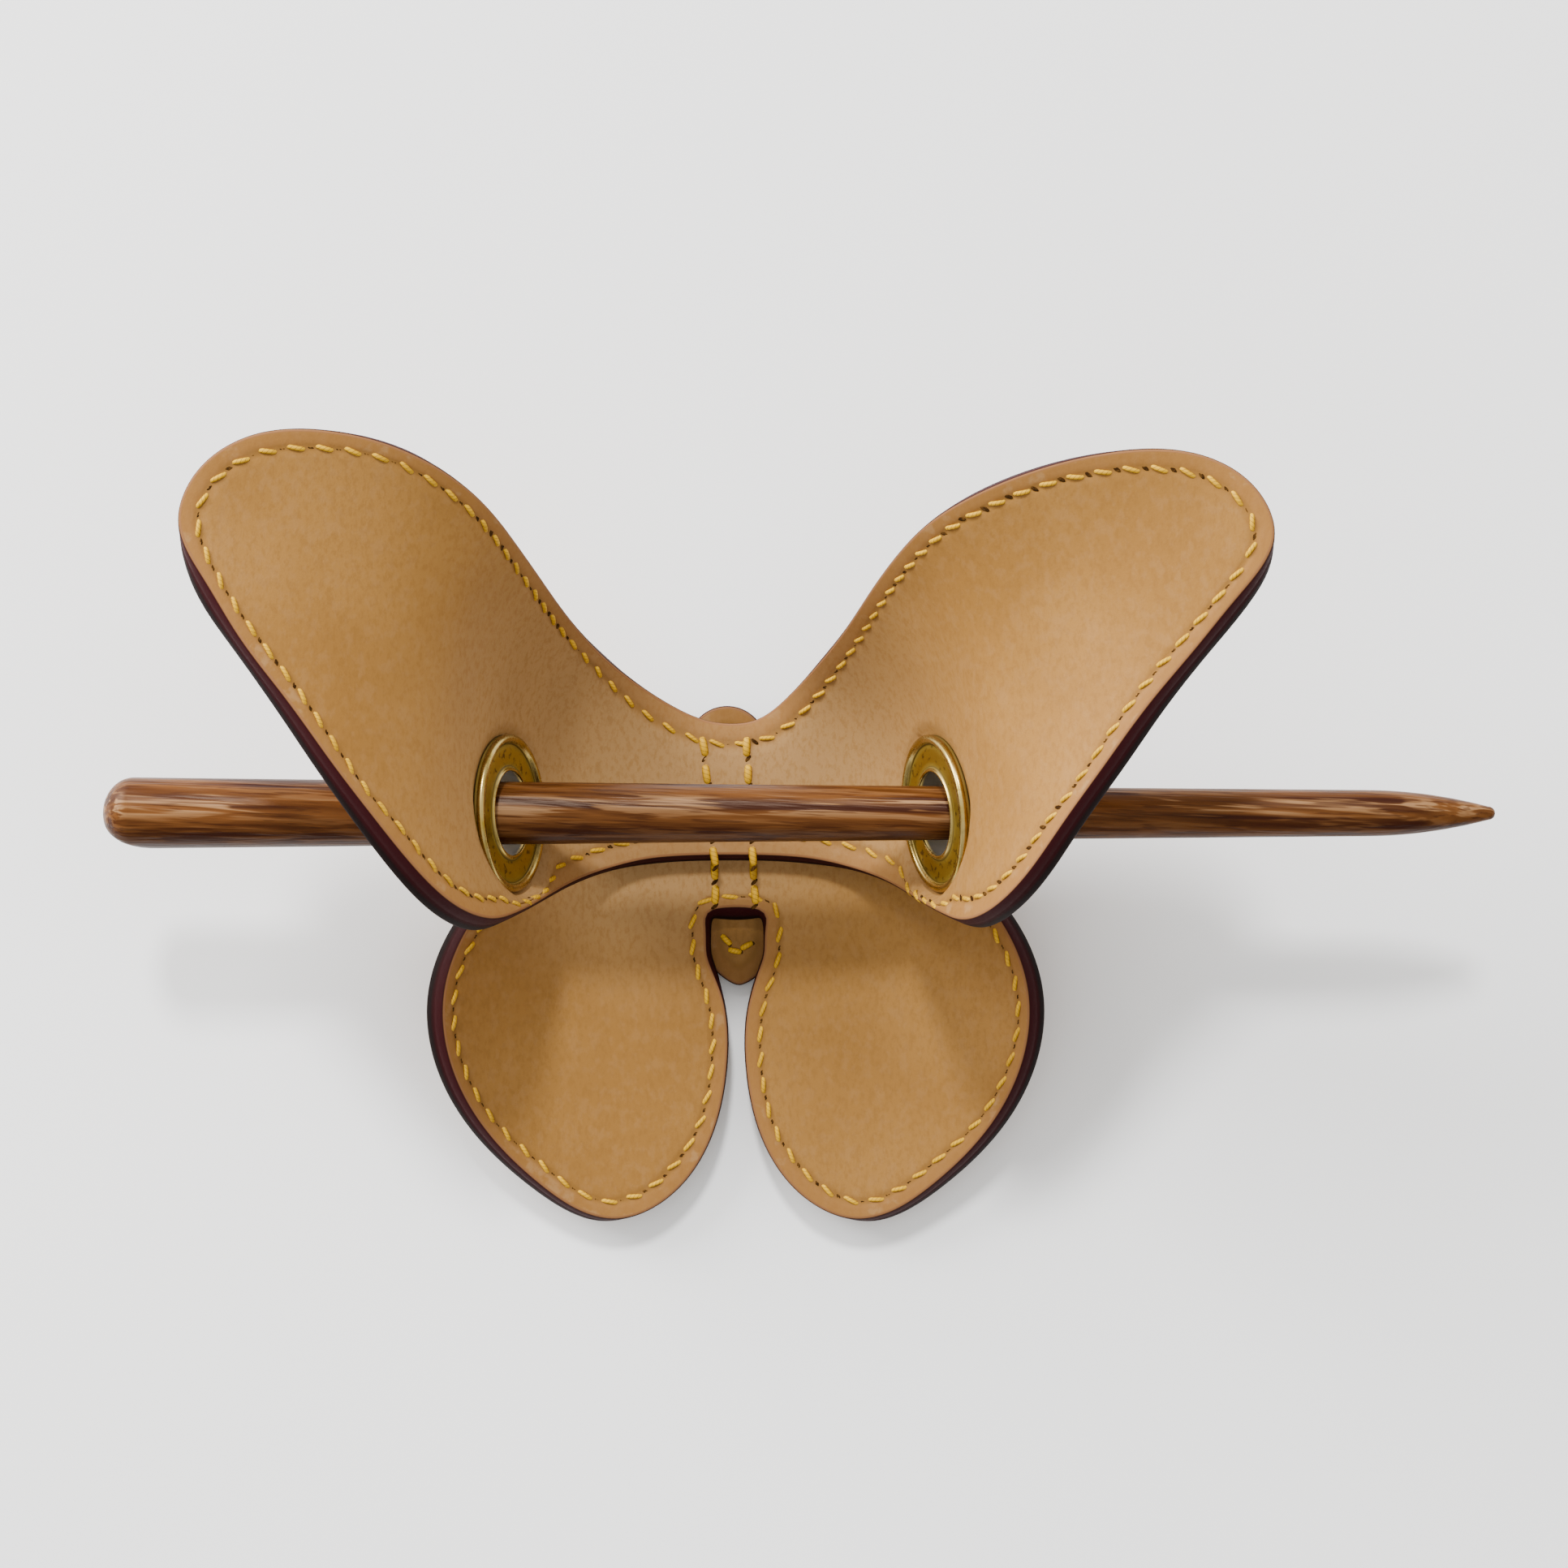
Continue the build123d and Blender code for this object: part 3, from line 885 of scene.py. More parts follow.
@dataclass
class LeatherWall:
    """A closed leather wall between two faces, with rounded and painted edges all round.

    faces_at gives the hair face and the outer face for flat coordinates. slant_at gives, for points of the
    outline and their outward directions, how far the hair face's edge lies inside the middle of the cut edge.
    Holes and creases are flat loops; the mesh follows a crease. All lengths are in millimetres.
    """

    name: str
    faces_at: Callable[[Array], FacePair]
    outline: Array
    stitch_inset: Array
    slant_at: Callable[[Array, Array], Array]
    holes: list[Array] = field(default_factory=list)
    creases: list[Array] = field(default_factory=list)
    rings: Sequence[float] = (0.42, 0.75, 1.1, 1.45, 1.75, 2.1, 2.45, 2.8, 3.3)
    ditch: float = 0.16
    ditch_width: float = 0.38
    spacing: float = 0.95
    crease_room: float = 0.35
    slant_fade: Pair = (0.4, 3.2)
    deepest: float = 8.0
    # Depths at which the rings are tried: the first one, the last one as a share of the last ring, and the step
    trial: tuple[float, float, float] = (0.6, 1.35, 0.2)
    clearance: float = 0.92
    squeeze: float = 0.2
    least_room: float = 0.05
    # Share of the ring depth and of the half thickness, from the hair face round to the outer face
    rim: Sequence[Pair] = (
        (0.22, 0.985), (0.10, 0.90), (0.035, 0.72), (0.0, 0.45), (0.0, 0.18), (0.07, 0.04),
        (0.07, -0.04), (0.0, -0.18), (0.0, -0.45), (0.035, -0.72), (0.10, -0.90), (0.22, -0.985),
    )

    def __post_init__(self) -> None:
        """Measure the outline: its directions inwards, in flat and in real space."""
        loop = self.outline
        if np.sum(loop[:, 0] * np.roll(loop[:, 1], -1) - np.roll(loop[:, 0], -1) * loop[:, 1]) < 0:
            self.outline = loop = loop[::-1].copy()
            self.stitch_inset = self.stitch_inset[::-1].copy()
        tangent = unit(np.roll(loop, -1, 0) - np.roll(loop, 1, 0))
        inward = np.stack([-tangent[:, 1], tangent[:, 0]], axis=1)
        self.middle_loop, across = slopes(self._middle, loop)
        self._run = np.roll(self.middle_loop, -1, 0) - self.middle_loop
        along = unit(np.roll(self.middle_loop, -1, 0) - np.roll(self.middle_loop, 1, 0))
        real = np.einsum("nij,nj->ni", across, inward)
        self.inward_real = unit(real - np.sum(real * along, 1, keepdims=True) * along)
        self.inward_flat = np.einsum("nij,nj->ni", np.linalg.pinv(across), self.inward_real)
        self.slant = soften_loop(self.slant_at(self.middle_loop, -self.inward_real), 12)
        self.room = np.ones(len(loop))
        self.room = self._room()

    def _middle(self, flat: Array) -> Array:
        """Points halfway through the wall."""
        return sum(self.faces_at(flat)) / 2

    def _room(self) -> Array:
        """Share of the full inset that each outline point has before the rings would fold over."""
        rim, full = self.rings[0], self.rings[-1] * self._stretch(self.rings[-1])
        free = np.full(len(self.outline), np.inf)
        first, share, step = self.trial
        for depth in np.arange(first, self.rings[-1] * share, step):
            moved = self._middle(self._inset(np.full(len(self.outline), depth)))
            run = np.roll(moved, -1, 0) - moved
            squeezed = np.sum(run * self._run, 1) < self.squeeze * np.sum(self._run * self._run, 1)
            close = (nearest(moved, self.middle_loop) < self.clearance * depth) | squeezed | np.roll(squeezed, 1)
            free = np.where(close & (free > depth), depth - step, free)
        near = np.stack([np.roll(free, k) for k in range(-5, 6)]).min(0)
        return soften_loop(np.clip((near - rim) / (full - rim), self.least_room, 1), 8)

    def _stretch(self, depth: float) -> Array:
        """Factor on a nominal depth that lets the rings follow the stitch line's inset."""
        return 1 + (self.stitch_inset / STITCH_DEPTH - 1) * min(1.0, depth / STITCH_DEPTH)

    def _inset(self, real: Array) -> Array:
        """Flat coordinates of the outline moved inwards by real lengths."""
        goal = self.middle_loop + self.inward_real * real[:, None]
        return settled(self._middle, goal, self.outline + self.inward_flat * real[:, None])

    def ring(self, depth: float, face: Face) -> Array:
        """Flat coordinates of one face's edge moved inwards by a nominal depth."""
        rim = self.rings[0]
        real = depth * self._stretch(depth)
        real = np.where(real > rim, rim + (real - rim) * self.room, real)
        return self._inset(real + self.slant * face.value * float(1 - smooth_step(*self.slant_fade, depth)))

    def stitch_line(self, face: Face) -> StitchLine:
        """The closed line of stitches on one face, at the bottom of the ditch."""
        return line_on(self.faces_at, self.ring(STITCH_DEPTH, face), face, -self.ditch, True)

    def _on_wall(self, points: Array, loop: Array) -> Array:
        """Which flat points lie inside a loop and outside the holes."""
        return inside(points, loop) & ~np.any([inside(points, hole) for hole in self.holes] or [[False]], axis=0)

    def _filled(self, loop: Array) -> tuple[Array, list[tuple[int, int, int]]]:
        """Triangles inside a flat loop and outside the holes.

        Args:
            loop: The innermost ring.

        Returns:
            Flat points, of which the loop and the holes come first, and triangles.
        """
        loops = [loop, *self.holes]
        rims = np.concatenate(loops)
        low, high = loop.min(0), loop.max(0)
        rows = np.arange(low[1], high[1], self.spacing * 0.87)
        grid = np.array([(x + (i % 2) * self.spacing / 2, y) for i, y in enumerate(rows)
                         for x in np.arange(low[0], high[0], self.spacing)])
        grid = grid[self._on_wall(grid, loop)]
        kept = [inside(crease, loop) & (nearest(crease, loop) > self.crease_room) for crease in self.creases]
        folds = np.concatenate([rims[:0], *[crease[keep] for crease, keep in zip(self.creases, kept)]])
        grid = grid[nearest(grid, np.concatenate([rims, folds])) > 0.5 * self.spacing]
        points = np.concatenate([rims, folds, grid])
        edges, offset = [], len(rims)
        for keep in kept:
            place = offset + np.cumsum(keep) - 1
            edges += [(int(place[i - 1]), int(place[i])) for i in range(len(keep)) if keep[i] and keep[i - 1]]
            offset += int(keep.sum())
        offset = 0
        for ring in loops:
            edges += run_edges(offset, len(ring), True)
            offset += len(ring)
        found = delaunay_2d_cdt([Vector(p) for p in points], edges, [], 0, 1e-6)
        crossed = [tuple(found[0][i]) for i, ids in enumerate(found[3]) if not ids]
        if crossed:
            raise ValueError(f"{self.name}: the inner ring crosses itself at {crossed[:8]}")
        origin = [ids[0] for ids in found[3]]
        triangles = np.array([[origin[i] for i in face] for face in found[2]])
        return points, triangles[self._on_wall(points[triangles].mean(1), loop)].tolist()

    def build(self) -> Object:
        """Make the wall's mesh, with the numbers edge_depth and edge_level on it."""
        count = len(self.outline)
        filled, triangles = self._filled(self.ring(self.rings[-1], Face.HAIR))
        sheets = [np.concatenate([*[self.ring(d, face) for d in self.rings[:-1]], filled]) for face in Face]
        depth = np.concatenate([np.repeat(self.rings[:-1], count), np.zeros(len(filled))])
        hair, outer = self.faces_at(sheets[0])[0], self.faces_at(sheets[1])[1]
        inner = len(depth) - len(filled)
        middle = (hair[inner:] + outer[inner:]) / 2
        depth[inner:] = np.clip(nearest(middle, self.middle_loop), self.rings[-1], self.deepest)
        depth[inner : inner + count] = self.rings[-1]
        normal = unit(hair - outer)
        sink = (self.ditch * np.exp(-(((depth - STITCH_DEPTH) / self.ditch_width) ** 2)))[:, None]
        rim_hair, rim_outer = self.faces_at(self.outline)
        half = (rim_hair - rim_outer) / 2
        rim = [self.middle_loop + self.inward_real * (d + self.slant * t)[:, None] + half * t for d, t in self.rim]
        points = np.concatenate([hair - normal * sink, outer + normal * sink, *rim])
        sheet = len(depth)
        depth_all = np.concatenate([depth, depth, *[np.full(count, d) for d, _ in self.rim]])
        level_all = np.concatenate([np.ones(sheet), -np.ones(sheet), *[np.full(count, t) for _, t in self.rim]])
        chain = [0, *[2 * sheet + k * count for k in range(len(self.rim))], sheet]
        faces = strips(chain, count)
        for start in (0, sheet):
            faces += strips(range(start, start + inner + count, count), count)
            faces += [[start + inner + i for i in triangle] for triangle in triangles]
        offset = inner + count
        for hole in self.holes:
            faces += strips((offset, sheet + offset), len(hole))
            offset += len(hole)
        made = new_object(self.name, points, faces)
        add_attribute(made, "edge_depth", depth_all)
        add_attribute(made, "edge_level", level_all)
        return made


class WingLine(NamedTuple):
    """One line across an upper wing, from its top edge to its low edge, in shares of the wing's sizes."""

    top_x: float
    top_y: float
    top_z: float
    valley: float
    low_x: float
    low_y: float
    low_z: float
    belly: float
    dish: float


@dataclass(frozen=True)
class Wing:
    """The sizes in which the left and the right upper wing differ."""

    side: Side
    half_span: float
    top: float
    valley: float
    belly: float
    edge_slant: float
    tip_inset: float
    edge_inset: float


@dataclass
class Seat:
    """Where an eyelet sits on the wall: its origin, and its axes as rows; z points out of the hair side."""

    origin: Array
    axes: Array

    def local(self, points: Array) -> Array:
        """Points in the seat's own axes."""
        return (points - self.origin) @ self.axes.T

    def real(self, points: Array) -> Array:
        """Points of the seat's own axes in the barrette's frame."""
        return self.origin + points @ self.axes


@dataclass
class UpperWings:
    """The panel of the upper wings: a waist in the middle and a dished wing with a lobe on each side."""

    thickness: float = 2.6
    waist_dip: float = 10.7
    waist_height: float = 7.4
    lobe_drop: float = 12.4
    wing_rise: float = 45.6
    wing_dish: float = 5.3
    left: Wing = Wing(Side.LEFT, 60.4, 42.3, 2.1, 1.05, 0.45, 2.1, 1.65)
    right: Wing = Wing(Side.RIGHT, 61.0, 40.1, -2.9, -1.05, 0.22, 2.2, 1.9)
    eyelet_line: int = 5
    eyelet_lean: float = 6.0
    press: dict[Face, tuple[float, float, float]] = field(default_factory=lambda: {
        Face.HAIR: (-0.25, 9.45, 10.30), Face.OUTER: (-2.68, 8.40, 11.40)})
    hole_radius: float = 6.62
    edge_step: float = 0.55
    tip_passes: int = 40
    press_reach: float = 12.0
    outer_seam_from: float = 15.0
    waist_inset: float = 2.5
    low_insets: Pair = (2.75, 2.5)
    waist_slant: float = 0.40
    inner_slant: float = 0.10
    top_slant: float = -0.28
    # Distances from the middle over which a size goes over into the next one
    tip_fade: Pair = (46.0, 55.0)
    inset_fades: Sequence[Pair] = ((8.0, 18.0), (34.0, 50.0), (28.0, 40.0), (44.0, 54.0))
    slant_fades: Sequence[Pair] = ((9.0, 16.0), (24.0, 30.0), (38.0, 46.0))
    # Distance below the stick's axis, and downward share of the outward direction, that mark the low edge
    low_side: Pair = (-2.0, 4.0)
    down_side: Pair = (-0.2, 0.5)
    bar_top: float = 8.0
    bar_low: float = -5.4
    bar_places: Sequence[Pair] = ((-3.25, -2.0), (2.0, 2.75))
    finish: LeatherFinish = field(default_factory=LeatherFinish)
    lines: Sequence[WingLine] = tuple(WingLine(*row) for row in (
        (0.000, 0.000, 0.000, 0.00, 0.000, -0.46, 0.000, 0.00, 0.005),
        (0.070, 0.028, 0.006, 0.10, 0.130, -0.48, 0.000, 0.00, 0.02),
        (0.140, 0.112, 0.050, 0.48, 0.220, -0.54, 0.010, 0.00, 0.22),
        (0.206, 0.220, 0.140, 0.80, 0.286, -0.635, 0.052, 0.00, 0.62),
        (0.266, 0.350, 0.277, 0.95, 0.335, -0.75, 0.146, 0.00, 0.93),
        (0.317, 0.497, 0.472, 1.00, 0.375, -0.87, 0.300, 0.00, 1.00),
        (0.369, 0.645, 0.660, 0.95, 0.412, -0.965, 0.455, 0.00, 0.98),
        (0.428, 0.770, 0.808, 0.75, 0.452, -1.00, 0.596, 0.10, 0.90),
        (0.510, 0.873, 0.898, 0.42, 0.505, -0.86, 0.716, 0.30, 0.77),
        (0.612, 0.953, 0.948, 0.12, 0.569, -0.52, 0.812, 0.50, 0.60),
        (0.724, 0.996, 0.974, 0.00, 0.640, -0.03, 0.885, 0.80, 0.41),
        (0.832, 0.994, 0.989, 0.00, 0.720, 0.153, 0.934, 0.95, 0.25),
        (0.914, 0.938, 0.996, 0.00, 0.804, 0.323, 0.961, 1.00, 0.13),
        (0.966, 0.842, 1.000, 0.00, 0.883, 0.472, 0.981, 0.85, 0.06),
        (0.992, 0.740, 1.000, 0.00, 0.944, 0.600, 0.993, 0.40, 0.03),
        (1.000, 0.655, 1.000, 0.00, 0.988, 0.685, 0.999, 0.00, 0.01),
    ))

    def __post_init__(self) -> None:
        """Work out the sections, the splines through them and the eyelets' seats."""
        last = len(self.lines) - 1
        stations = [(self.left, i) for i in range(last, 0, -1)] + [(self.right, i) for i in range(last + 1)]
        shares = (0.0, 0.5, 1.0)
        hair = np.array([[self._arc_point(w, i, s) for s in shares] for w, i in stations])
        normal = np.array([[self._normal(w, i, s) for s in shares] for w, i in stations])
        self.knots = run_length(hair.mean(1))
        rows = np.concatenate([hair, hair - normal * self.thickness], axis=1).reshape(len(stations), -1)
        self.spline = NaturalSpline(self.knots, rows)
        self.waist_knot = self.knots[last]
        self.seats = {wing.side: self._seat(wing) for wing in (self.left, self.right)}

    def _ends(self, wing: Wing, index: int) -> FacePair:
        """Top and low end of a wing line on the hair side."""
        line, side = self.lines[index], wing.side.value
        top = (side * (line.top_x * wing.half_span + line.valley * wing.valley),
               self.waist_dip + line.top_y * (wing.top - self.waist_dip),
               self.waist_height + line.top_z * self.wing_rise)
        low = (side * (line.low_x * wing.half_span + line.belly * wing.belly),
               line.low_y * (wing.top if line.low_y > 0 else self.lobe_drop),
               self.waist_height + line.low_z * self.wing_rise)
        return np.array(top), np.array(low)

    def _out(self, wing: Wing, index: int) -> Array:
        """Direction out of the hair side, square to a wing line."""
        last = len(self.lines) - 1
        top, low = self._ends(wing, index)
        before, after = self._ends(wing, max(index - 1, 0)), self._ends(wing, min(index + 1, last))
        outward = sum(after) - sum(before)
        along = unit(low - top)
        return unit(np.cross(along, outward) * wing.side.value)

    def _arc_point(self, wing: Wing, index: int, share: float) -> Array:
        """Point of a wing line's arc at a share of its length."""
        top, low = self._ends(wing, index)
        length = float(np.linalg.norm(low - top))
        sag = self.lines[index].dish * self.wing_dish
        radius = (length**2 / 4 + sag**2) / (2 * sag)
        offset = (share - 0.5) * length
        height = radius - sag - math.sqrt(radius**2 - offset**2)
        return top + (low - top) * share + self._out(wing, index) * height

    def _normal(self, wing: Wing, index: int, share: float) -> Array:
        """Unit vector out of the hair side at a share of a wing line's length."""
        if index in (0, len(self.lines) - 1):
            return self._out(wing, index)
        step = 0.01
        along = self._arc_point(wing, index, share + step) - self._arc_point(wing, index, share - step)
        across = self._arc_point(wing, index + 1, share) - self._arc_point(wing, index - 1, share)
        return unit(np.cross(along, across) * wing.side.value)

    def _seat(self, wing: Wing) -> Seat:
        """The eyelet's seat, where its wing line crosses the stick's level."""
        above, below = 0.0, 1.0
        for _ in range(40):
            middle = (above + below) / 2
            if self._arc_point(wing, self.eyelet_line, middle)[1] > 0:
                above = middle
            else:
                below = middle
        out = self._normal(wing, self.eyelet_line, above)
        lean = math.radians(self.eyelet_lean) * wing.side.value
        cos, sin = math.cos(lean), math.sin(lean)
        z = np.array([cos * out[0] - sin * out[1], sin * out[0] + cos * out[1], out[2]])
        x = unit(np.cross(np.array([0.0, -1.0, 0.0]), z))
        return Seat(self._arc_point(wing, self.eyelet_line, above), np.stack([x, np.cross(z, x), z]))

    @property
    def stick_height(self) -> float:
        """Height of the stick's axis, halfway between the two seats."""
        return float(sum(seat.origin[2] for seat in self.seats.values()) / 2)

    def _arc(self, ends: Array, share: Array) -> Array:
        """Points on the arcs through three points each.

        Args:
            ends: Start, middle and end points, of shape (n, 3, 3).
            share: Share of the chord at which each point is wanted.

        Returns:
            The points.
        """
        start, middle, end = ends[:, 0], ends[:, 1], ends[:, 2]
        sag_vector = middle - (start + end) / 2
        sag = np.maximum(np.linalg.norm(sag_vector, axis=1), 1e-6)
        length = np.linalg.norm(end - start, axis=1)
        radius = (length**2 / 4 + sag**2) / (2 * sag)
        height = np.sqrt(np.maximum(radius**2 - ((share - 0.5) * length) ** 2, 0)) - (radius - sag)
        return start + (end - start) * share[:, None] + sag_vector / sag[:, None] * height[:, None]

    def span(self, along: Array) -> Array:
        """Length of the hair side's chord at places along the wall."""
        rows = self.spline(along)
        return np.linalg.norm(rows[:, 6:9] - rows[:, 0:3], axis=1)

    def _pressed(self, points: Array, face: Face) -> Array:
        """Points of one face, pressed flat under the eyelets' flanges."""
        points = points.copy()
        level, full, none = self.press[face]
        for seat in self.seats.values():
            local = seat.local(points)
            reach = np.linalg.norm(local[:, :2], axis=1)
            near = (1 - smooth_step(full, none, reach)) * (np.abs(local[:, 2]) < self.press_reach)
            local[:, 2] += (level - local[:, 2]) * near
            moved = near > 0
            points[moved] = seat.real(local[moved])
        return points

    def faces_at(self, flat: Array) -> FacePair:
        """Hair and outer face of the wall.

        Args:
            flat: Rows of the length along the wall and the distance across it from its middle.

        Returns:
            Points of the hair face and of the outer face.
        """
        rows = self.spline(flat[:, 0])
        share = flat[:, 1] / np.linalg.norm(rows[:, 6:9] - rows[:, 0:3], axis=1) + 0.5
        hair = self._arc(rows[:, 0:9].reshape(-1, 3, 3), share)
        outer = self._arc(rows[:, 9:18].reshape(-1, 3, 3), share)
        return self._pressed(hair, Face.HAIR), self._pressed(outer, Face.OUTER)

    def flat_of(self, plan: Array) -> Array:
        """Flat coordinates of the hair face's points at places near the waist, seen from above."""
        start = plan * [1, -1] + [self.waist_knot, 0]
        return settled(lambda flat: self.faces_at(flat)[0][:, :2], plan, start, 12, 2.0)

    def wall(self) -> LeatherWall:
        """The wall with its outline, eyelet holes and stitch inset."""
        low, high = self.knots[[0, -1]]
        along = np.linspace(low, high, 900)
        half = self.span(along) / 2
        top = np.stack([along, -half], 1)
        bottom = np.stack([along, half], 1)[::-1]
        side = np.linspace(-1, 1, 13)[1:-1]
        right_end = np.stack([np.full(len(side), high), side * half[-1]], 1)
        left_end = np.stack([np.full(len(side), low), -side * half[0]], 1)
        loop = np.concatenate([top, right_end, bottom, left_end])
        closed = np.concatenate([loop, loop[:1]])
        hair, outer = self.faces_at(closed)
        by = run_length((hair + outer) / 2)
        loop = even_loop(closed, by, self.edge_step, 4)
        middle = sum(self.faces_at(loop)) / 2
        span = np.abs(middle[:, 0])
        tip = smooth_step(*self.tip_fade, span)[:, None]
        loop = settled(lambda flat: sum(self.faces_at(flat)) / 2,
                       middle * (1 - tip) + soften_loop(middle, self.tip_passes) * tip, loop)
        waist, wing, lobe, end = (smooth_step(*fade, span) for fade in self.inset_fades)
        top_inset = blend(self.waist_inset, self._by_side(middle, "edge_inset"), waist)
        top_inset = blend(top_inset, self._by_side(middle, "tip_inset"), wing)
        low = smooth_step(*self.low_side, -middle[:, 1]) * (1 - end)
        inset = blend(top_inset, blend(*self.low_insets, lobe), low)
        holes = [self._circle(seat, self.hole_radius, 48) for seat in self.seats.values()]
        creases = [self._circle(seat, r, 110) for seat in self.seats.values() for r in self.press[Face.HAIR][1:]]
        return LeatherWall("upper_wings_leather", self.faces_at, loop, inset, self.slant_at, holes, creases)

    def _by_side(self, place: Array, name: str) -> Array:
        """A size of the wing on whose side each point lies."""
        return np.where(place[:, 0] < 0, getattr(self.left, name), getattr(self.right, name))

    def slant_at(self, place: Array, outward: Array) -> Array:
        """How far the hair face's edge is set in: wide where the low edges show their paint, none at the top."""
        waist, wing, tip = (smooth_step(*fade, np.abs(place[:, 0])) for fade in self.slant_fades)
        wing_slant = blend(self._by_side(place, "edge_slant"), self.left.edge_slant, tip)
        low_slant = blend(blend(self.waist_slant, self.inner_slant, waist), wing_slant, wing)
        return blend(self.top_slant, low_slant, smooth_step(*self.down_side, -outward[:, 1]))

    def _circle(self, seat: Seat, radius: float, count: int) -> Array:
        """Flat loop of a circle round an eyelet's axis."""
        turn = turns(count)
        goal = np.stack([np.cos(turn), np.sin(turn)], 1) * radius
        start = np.repeat(self._flat_near(seat.origin)[None], count, 0)
        return settled(lambda flat: seat.local(self.faces_at(flat)[0])[:, :2], goal, start, 15, 2.0)

    def _flat_near(self, point: Array) -> Array:
        """Flat coordinates of the hair face's point nearest to a point."""
        along = np.linspace(self.knots[0], self.knots[-1], 160)
        grid = np.array([(a, s * l) for a, l in zip(along, self.span(along)) for s in np.linspace(-0.5, 0.5, 60)])
        hair = self.faces_at(grid)[0]
        return grid[int(np.argmin(np.linalg.norm(hair - point, axis=1)))]

    def seams(self, wall: LeatherWall) -> list[StitchLine]:
        """The stitches along the edge, on both faces."""
        outer = wall.stitch_line(Face.OUTER)
        return [wall.stitch_line(Face.HAIR), *outer.kept(np.abs(outer.points[:, 0]) > self.outer_seam_from)]


@dataclass
class LowerWings:
    """The panel of the lower wings: two lobes with a notch and a slot between them, bent up at the sides."""

    thickness: float = 2.6
    base: float = 2.1
    half_width: float = 37.4
    reach: float = 50.6
    shift: float = 0.7
    flat: float = 13.0
    left_radius: float = 38.0
    right_radius: float = 48.0
    notch_width: float = 6.7
    notch_top: float = 12.7
    notch_depth: float = 4.9
    slot_width: float = 2.2
    slot_low: float = 31.4
    slot_high: float = 24.3
    slot_flare: float = 0.2
    edge_step: float = 0.55
    edge_slant: float = 0.45
    notch_slant: float = 0.60
    # Stretches over which the slant and the inset change: outward direction, y, and outward direction in the notch
    side_fade: Pair = (-0.5, 0.3)
    top_fade: Pair = (4.0, -4.0)
    notch_fade: Pair = (0.0, 0.9)
    notch_right_share: float = 0.45
    notch_middle: float = -15.0
    notch_reach: float = 6.0
    insets: Pair = (1.95, 2.40)
    tip_fade: Pair = (38.0, 46.0)
    # Where stitches lie under the upper wings or the strap: y at the middle, x and y at the sides, x and y of the strap
    seam_top: float = -8.0
    side_seam: Pair = (24.0, -4.0)
    strap_corner: Pair = (6.0, -22.5)
    bar_top: float = -7.2
    bar_low: float = -10.2
    bar_places: Sequence[Pair] = ((-2.0, -1.9), (2.8, 3.0))
    # A darker copy of the leather: partly the lower wings' own tone, partly painted shade; its painted light reaches
    # less far
    finish: LeatherFinish = LeatherFinish().toned("leather_lower", 0.88, (0.034, 0.010))
    lobe: Sequence[Pair] = (
        (0.24, 0.19), (0.55, -0.02), (0.88, -0.23), (1.00, -0.44), (0.95, -0.66),
        (0.67, -0.915), (0.43, -1.00), (0.22, -0.94), (0.09, -0.81),
    )

    def _radius(self, x: Array) -> Array:
        """Radius of the hair face's bend on the side where x lies."""
        return np.where(x < 0, self.left_radius, self.right_radius)

    def faces_at(self, flat: Array) -> FacePair:
        """Hair and outer face for rows of the length along the bend and y."""
        span, radius = np.abs(flat[:, 0]), self._radius(flat[:, 0])
        bend = np.maximum(span - self.flat, 0) / (radius + self.thickness / 2)
        inner = np.minimum(span, self.flat)
        hair, outer = (np.stack([np.sign(flat[:, 0]) * (inner + r * np.sin(bend)), flat[:, 1],
                                 self.base + self.thickness + radius - r * np.cos(bend)], 1)
                       for r in (radius, radius + self.thickness))
        return hair, outer

    def flat_of(self, plan: Array) -> Array:
        """Flat coordinates of points seen from above on the outer face."""
        span, radius = np.abs(plan[:, 0]), self._radius(plan[:, 0])
        out = np.maximum(span - self.flat, 0)
        bend = np.arcsin(np.clip(out / (radius + self.thickness), 0, 0.98)) * (radius + self.thickness / 2)
        return np.stack([np.sign(plan[:, 0]) * (np.minimum(span, self.flat) + bend), plan[:, 1]], 1)

    def _lobe_edge(self, side: int) -> Array:
        """Plan of one lobe's edge, from the hidden top to the middle of the notch."""
        points = [(side * x * self.half_width, y * self.reach) for x, y in self.lobe]
        points += [(side * self.slot_width / 2, -self.slot_low),
                   (side * (self.slot_width / 2 + self.slot_flare), -self.slot_high),
                   (side * self.notch_width / 2, -self.notch_top - self.notch_depth)]
        rows = np.array(points)
        knots = run_length(rows)
        curve = NaturalSpline(knots, rows)(np.linspace(0, knots[-1], 500))
        corner = np.array([(side * self.notch_width / 2, -self.notch_top)])
        return np.concatenate([curve, np.linspace(rows[-1], corner[0], 12)[1:],
                               np.linspace(corner[0], (0.0, -self.notch_top), 12)[1:-1]])

    def wall(self) -> LeatherWall:
        """The wall with its outline."""
        right, left = self._lobe_edge(1), self._lobe_edge(-1)
        plan = np.concatenate([right, left[::-1], np.linspace(left[0], right[0], 30)[1:-1]]) + [self.shift, 0]
        loop = self.flat_of(plan)
        closed = np.concatenate([loop, loop[:1]])
        loop = even_loop(closed, run_length(closed), self.edge_step, 3)
        inset = blend(*self.insets, smooth_step(*self.tip_fade, -loop[:, 1]))
        return LeatherWall("lower_wings_leather", self.faces_at, loop, inset, self.slant_at)

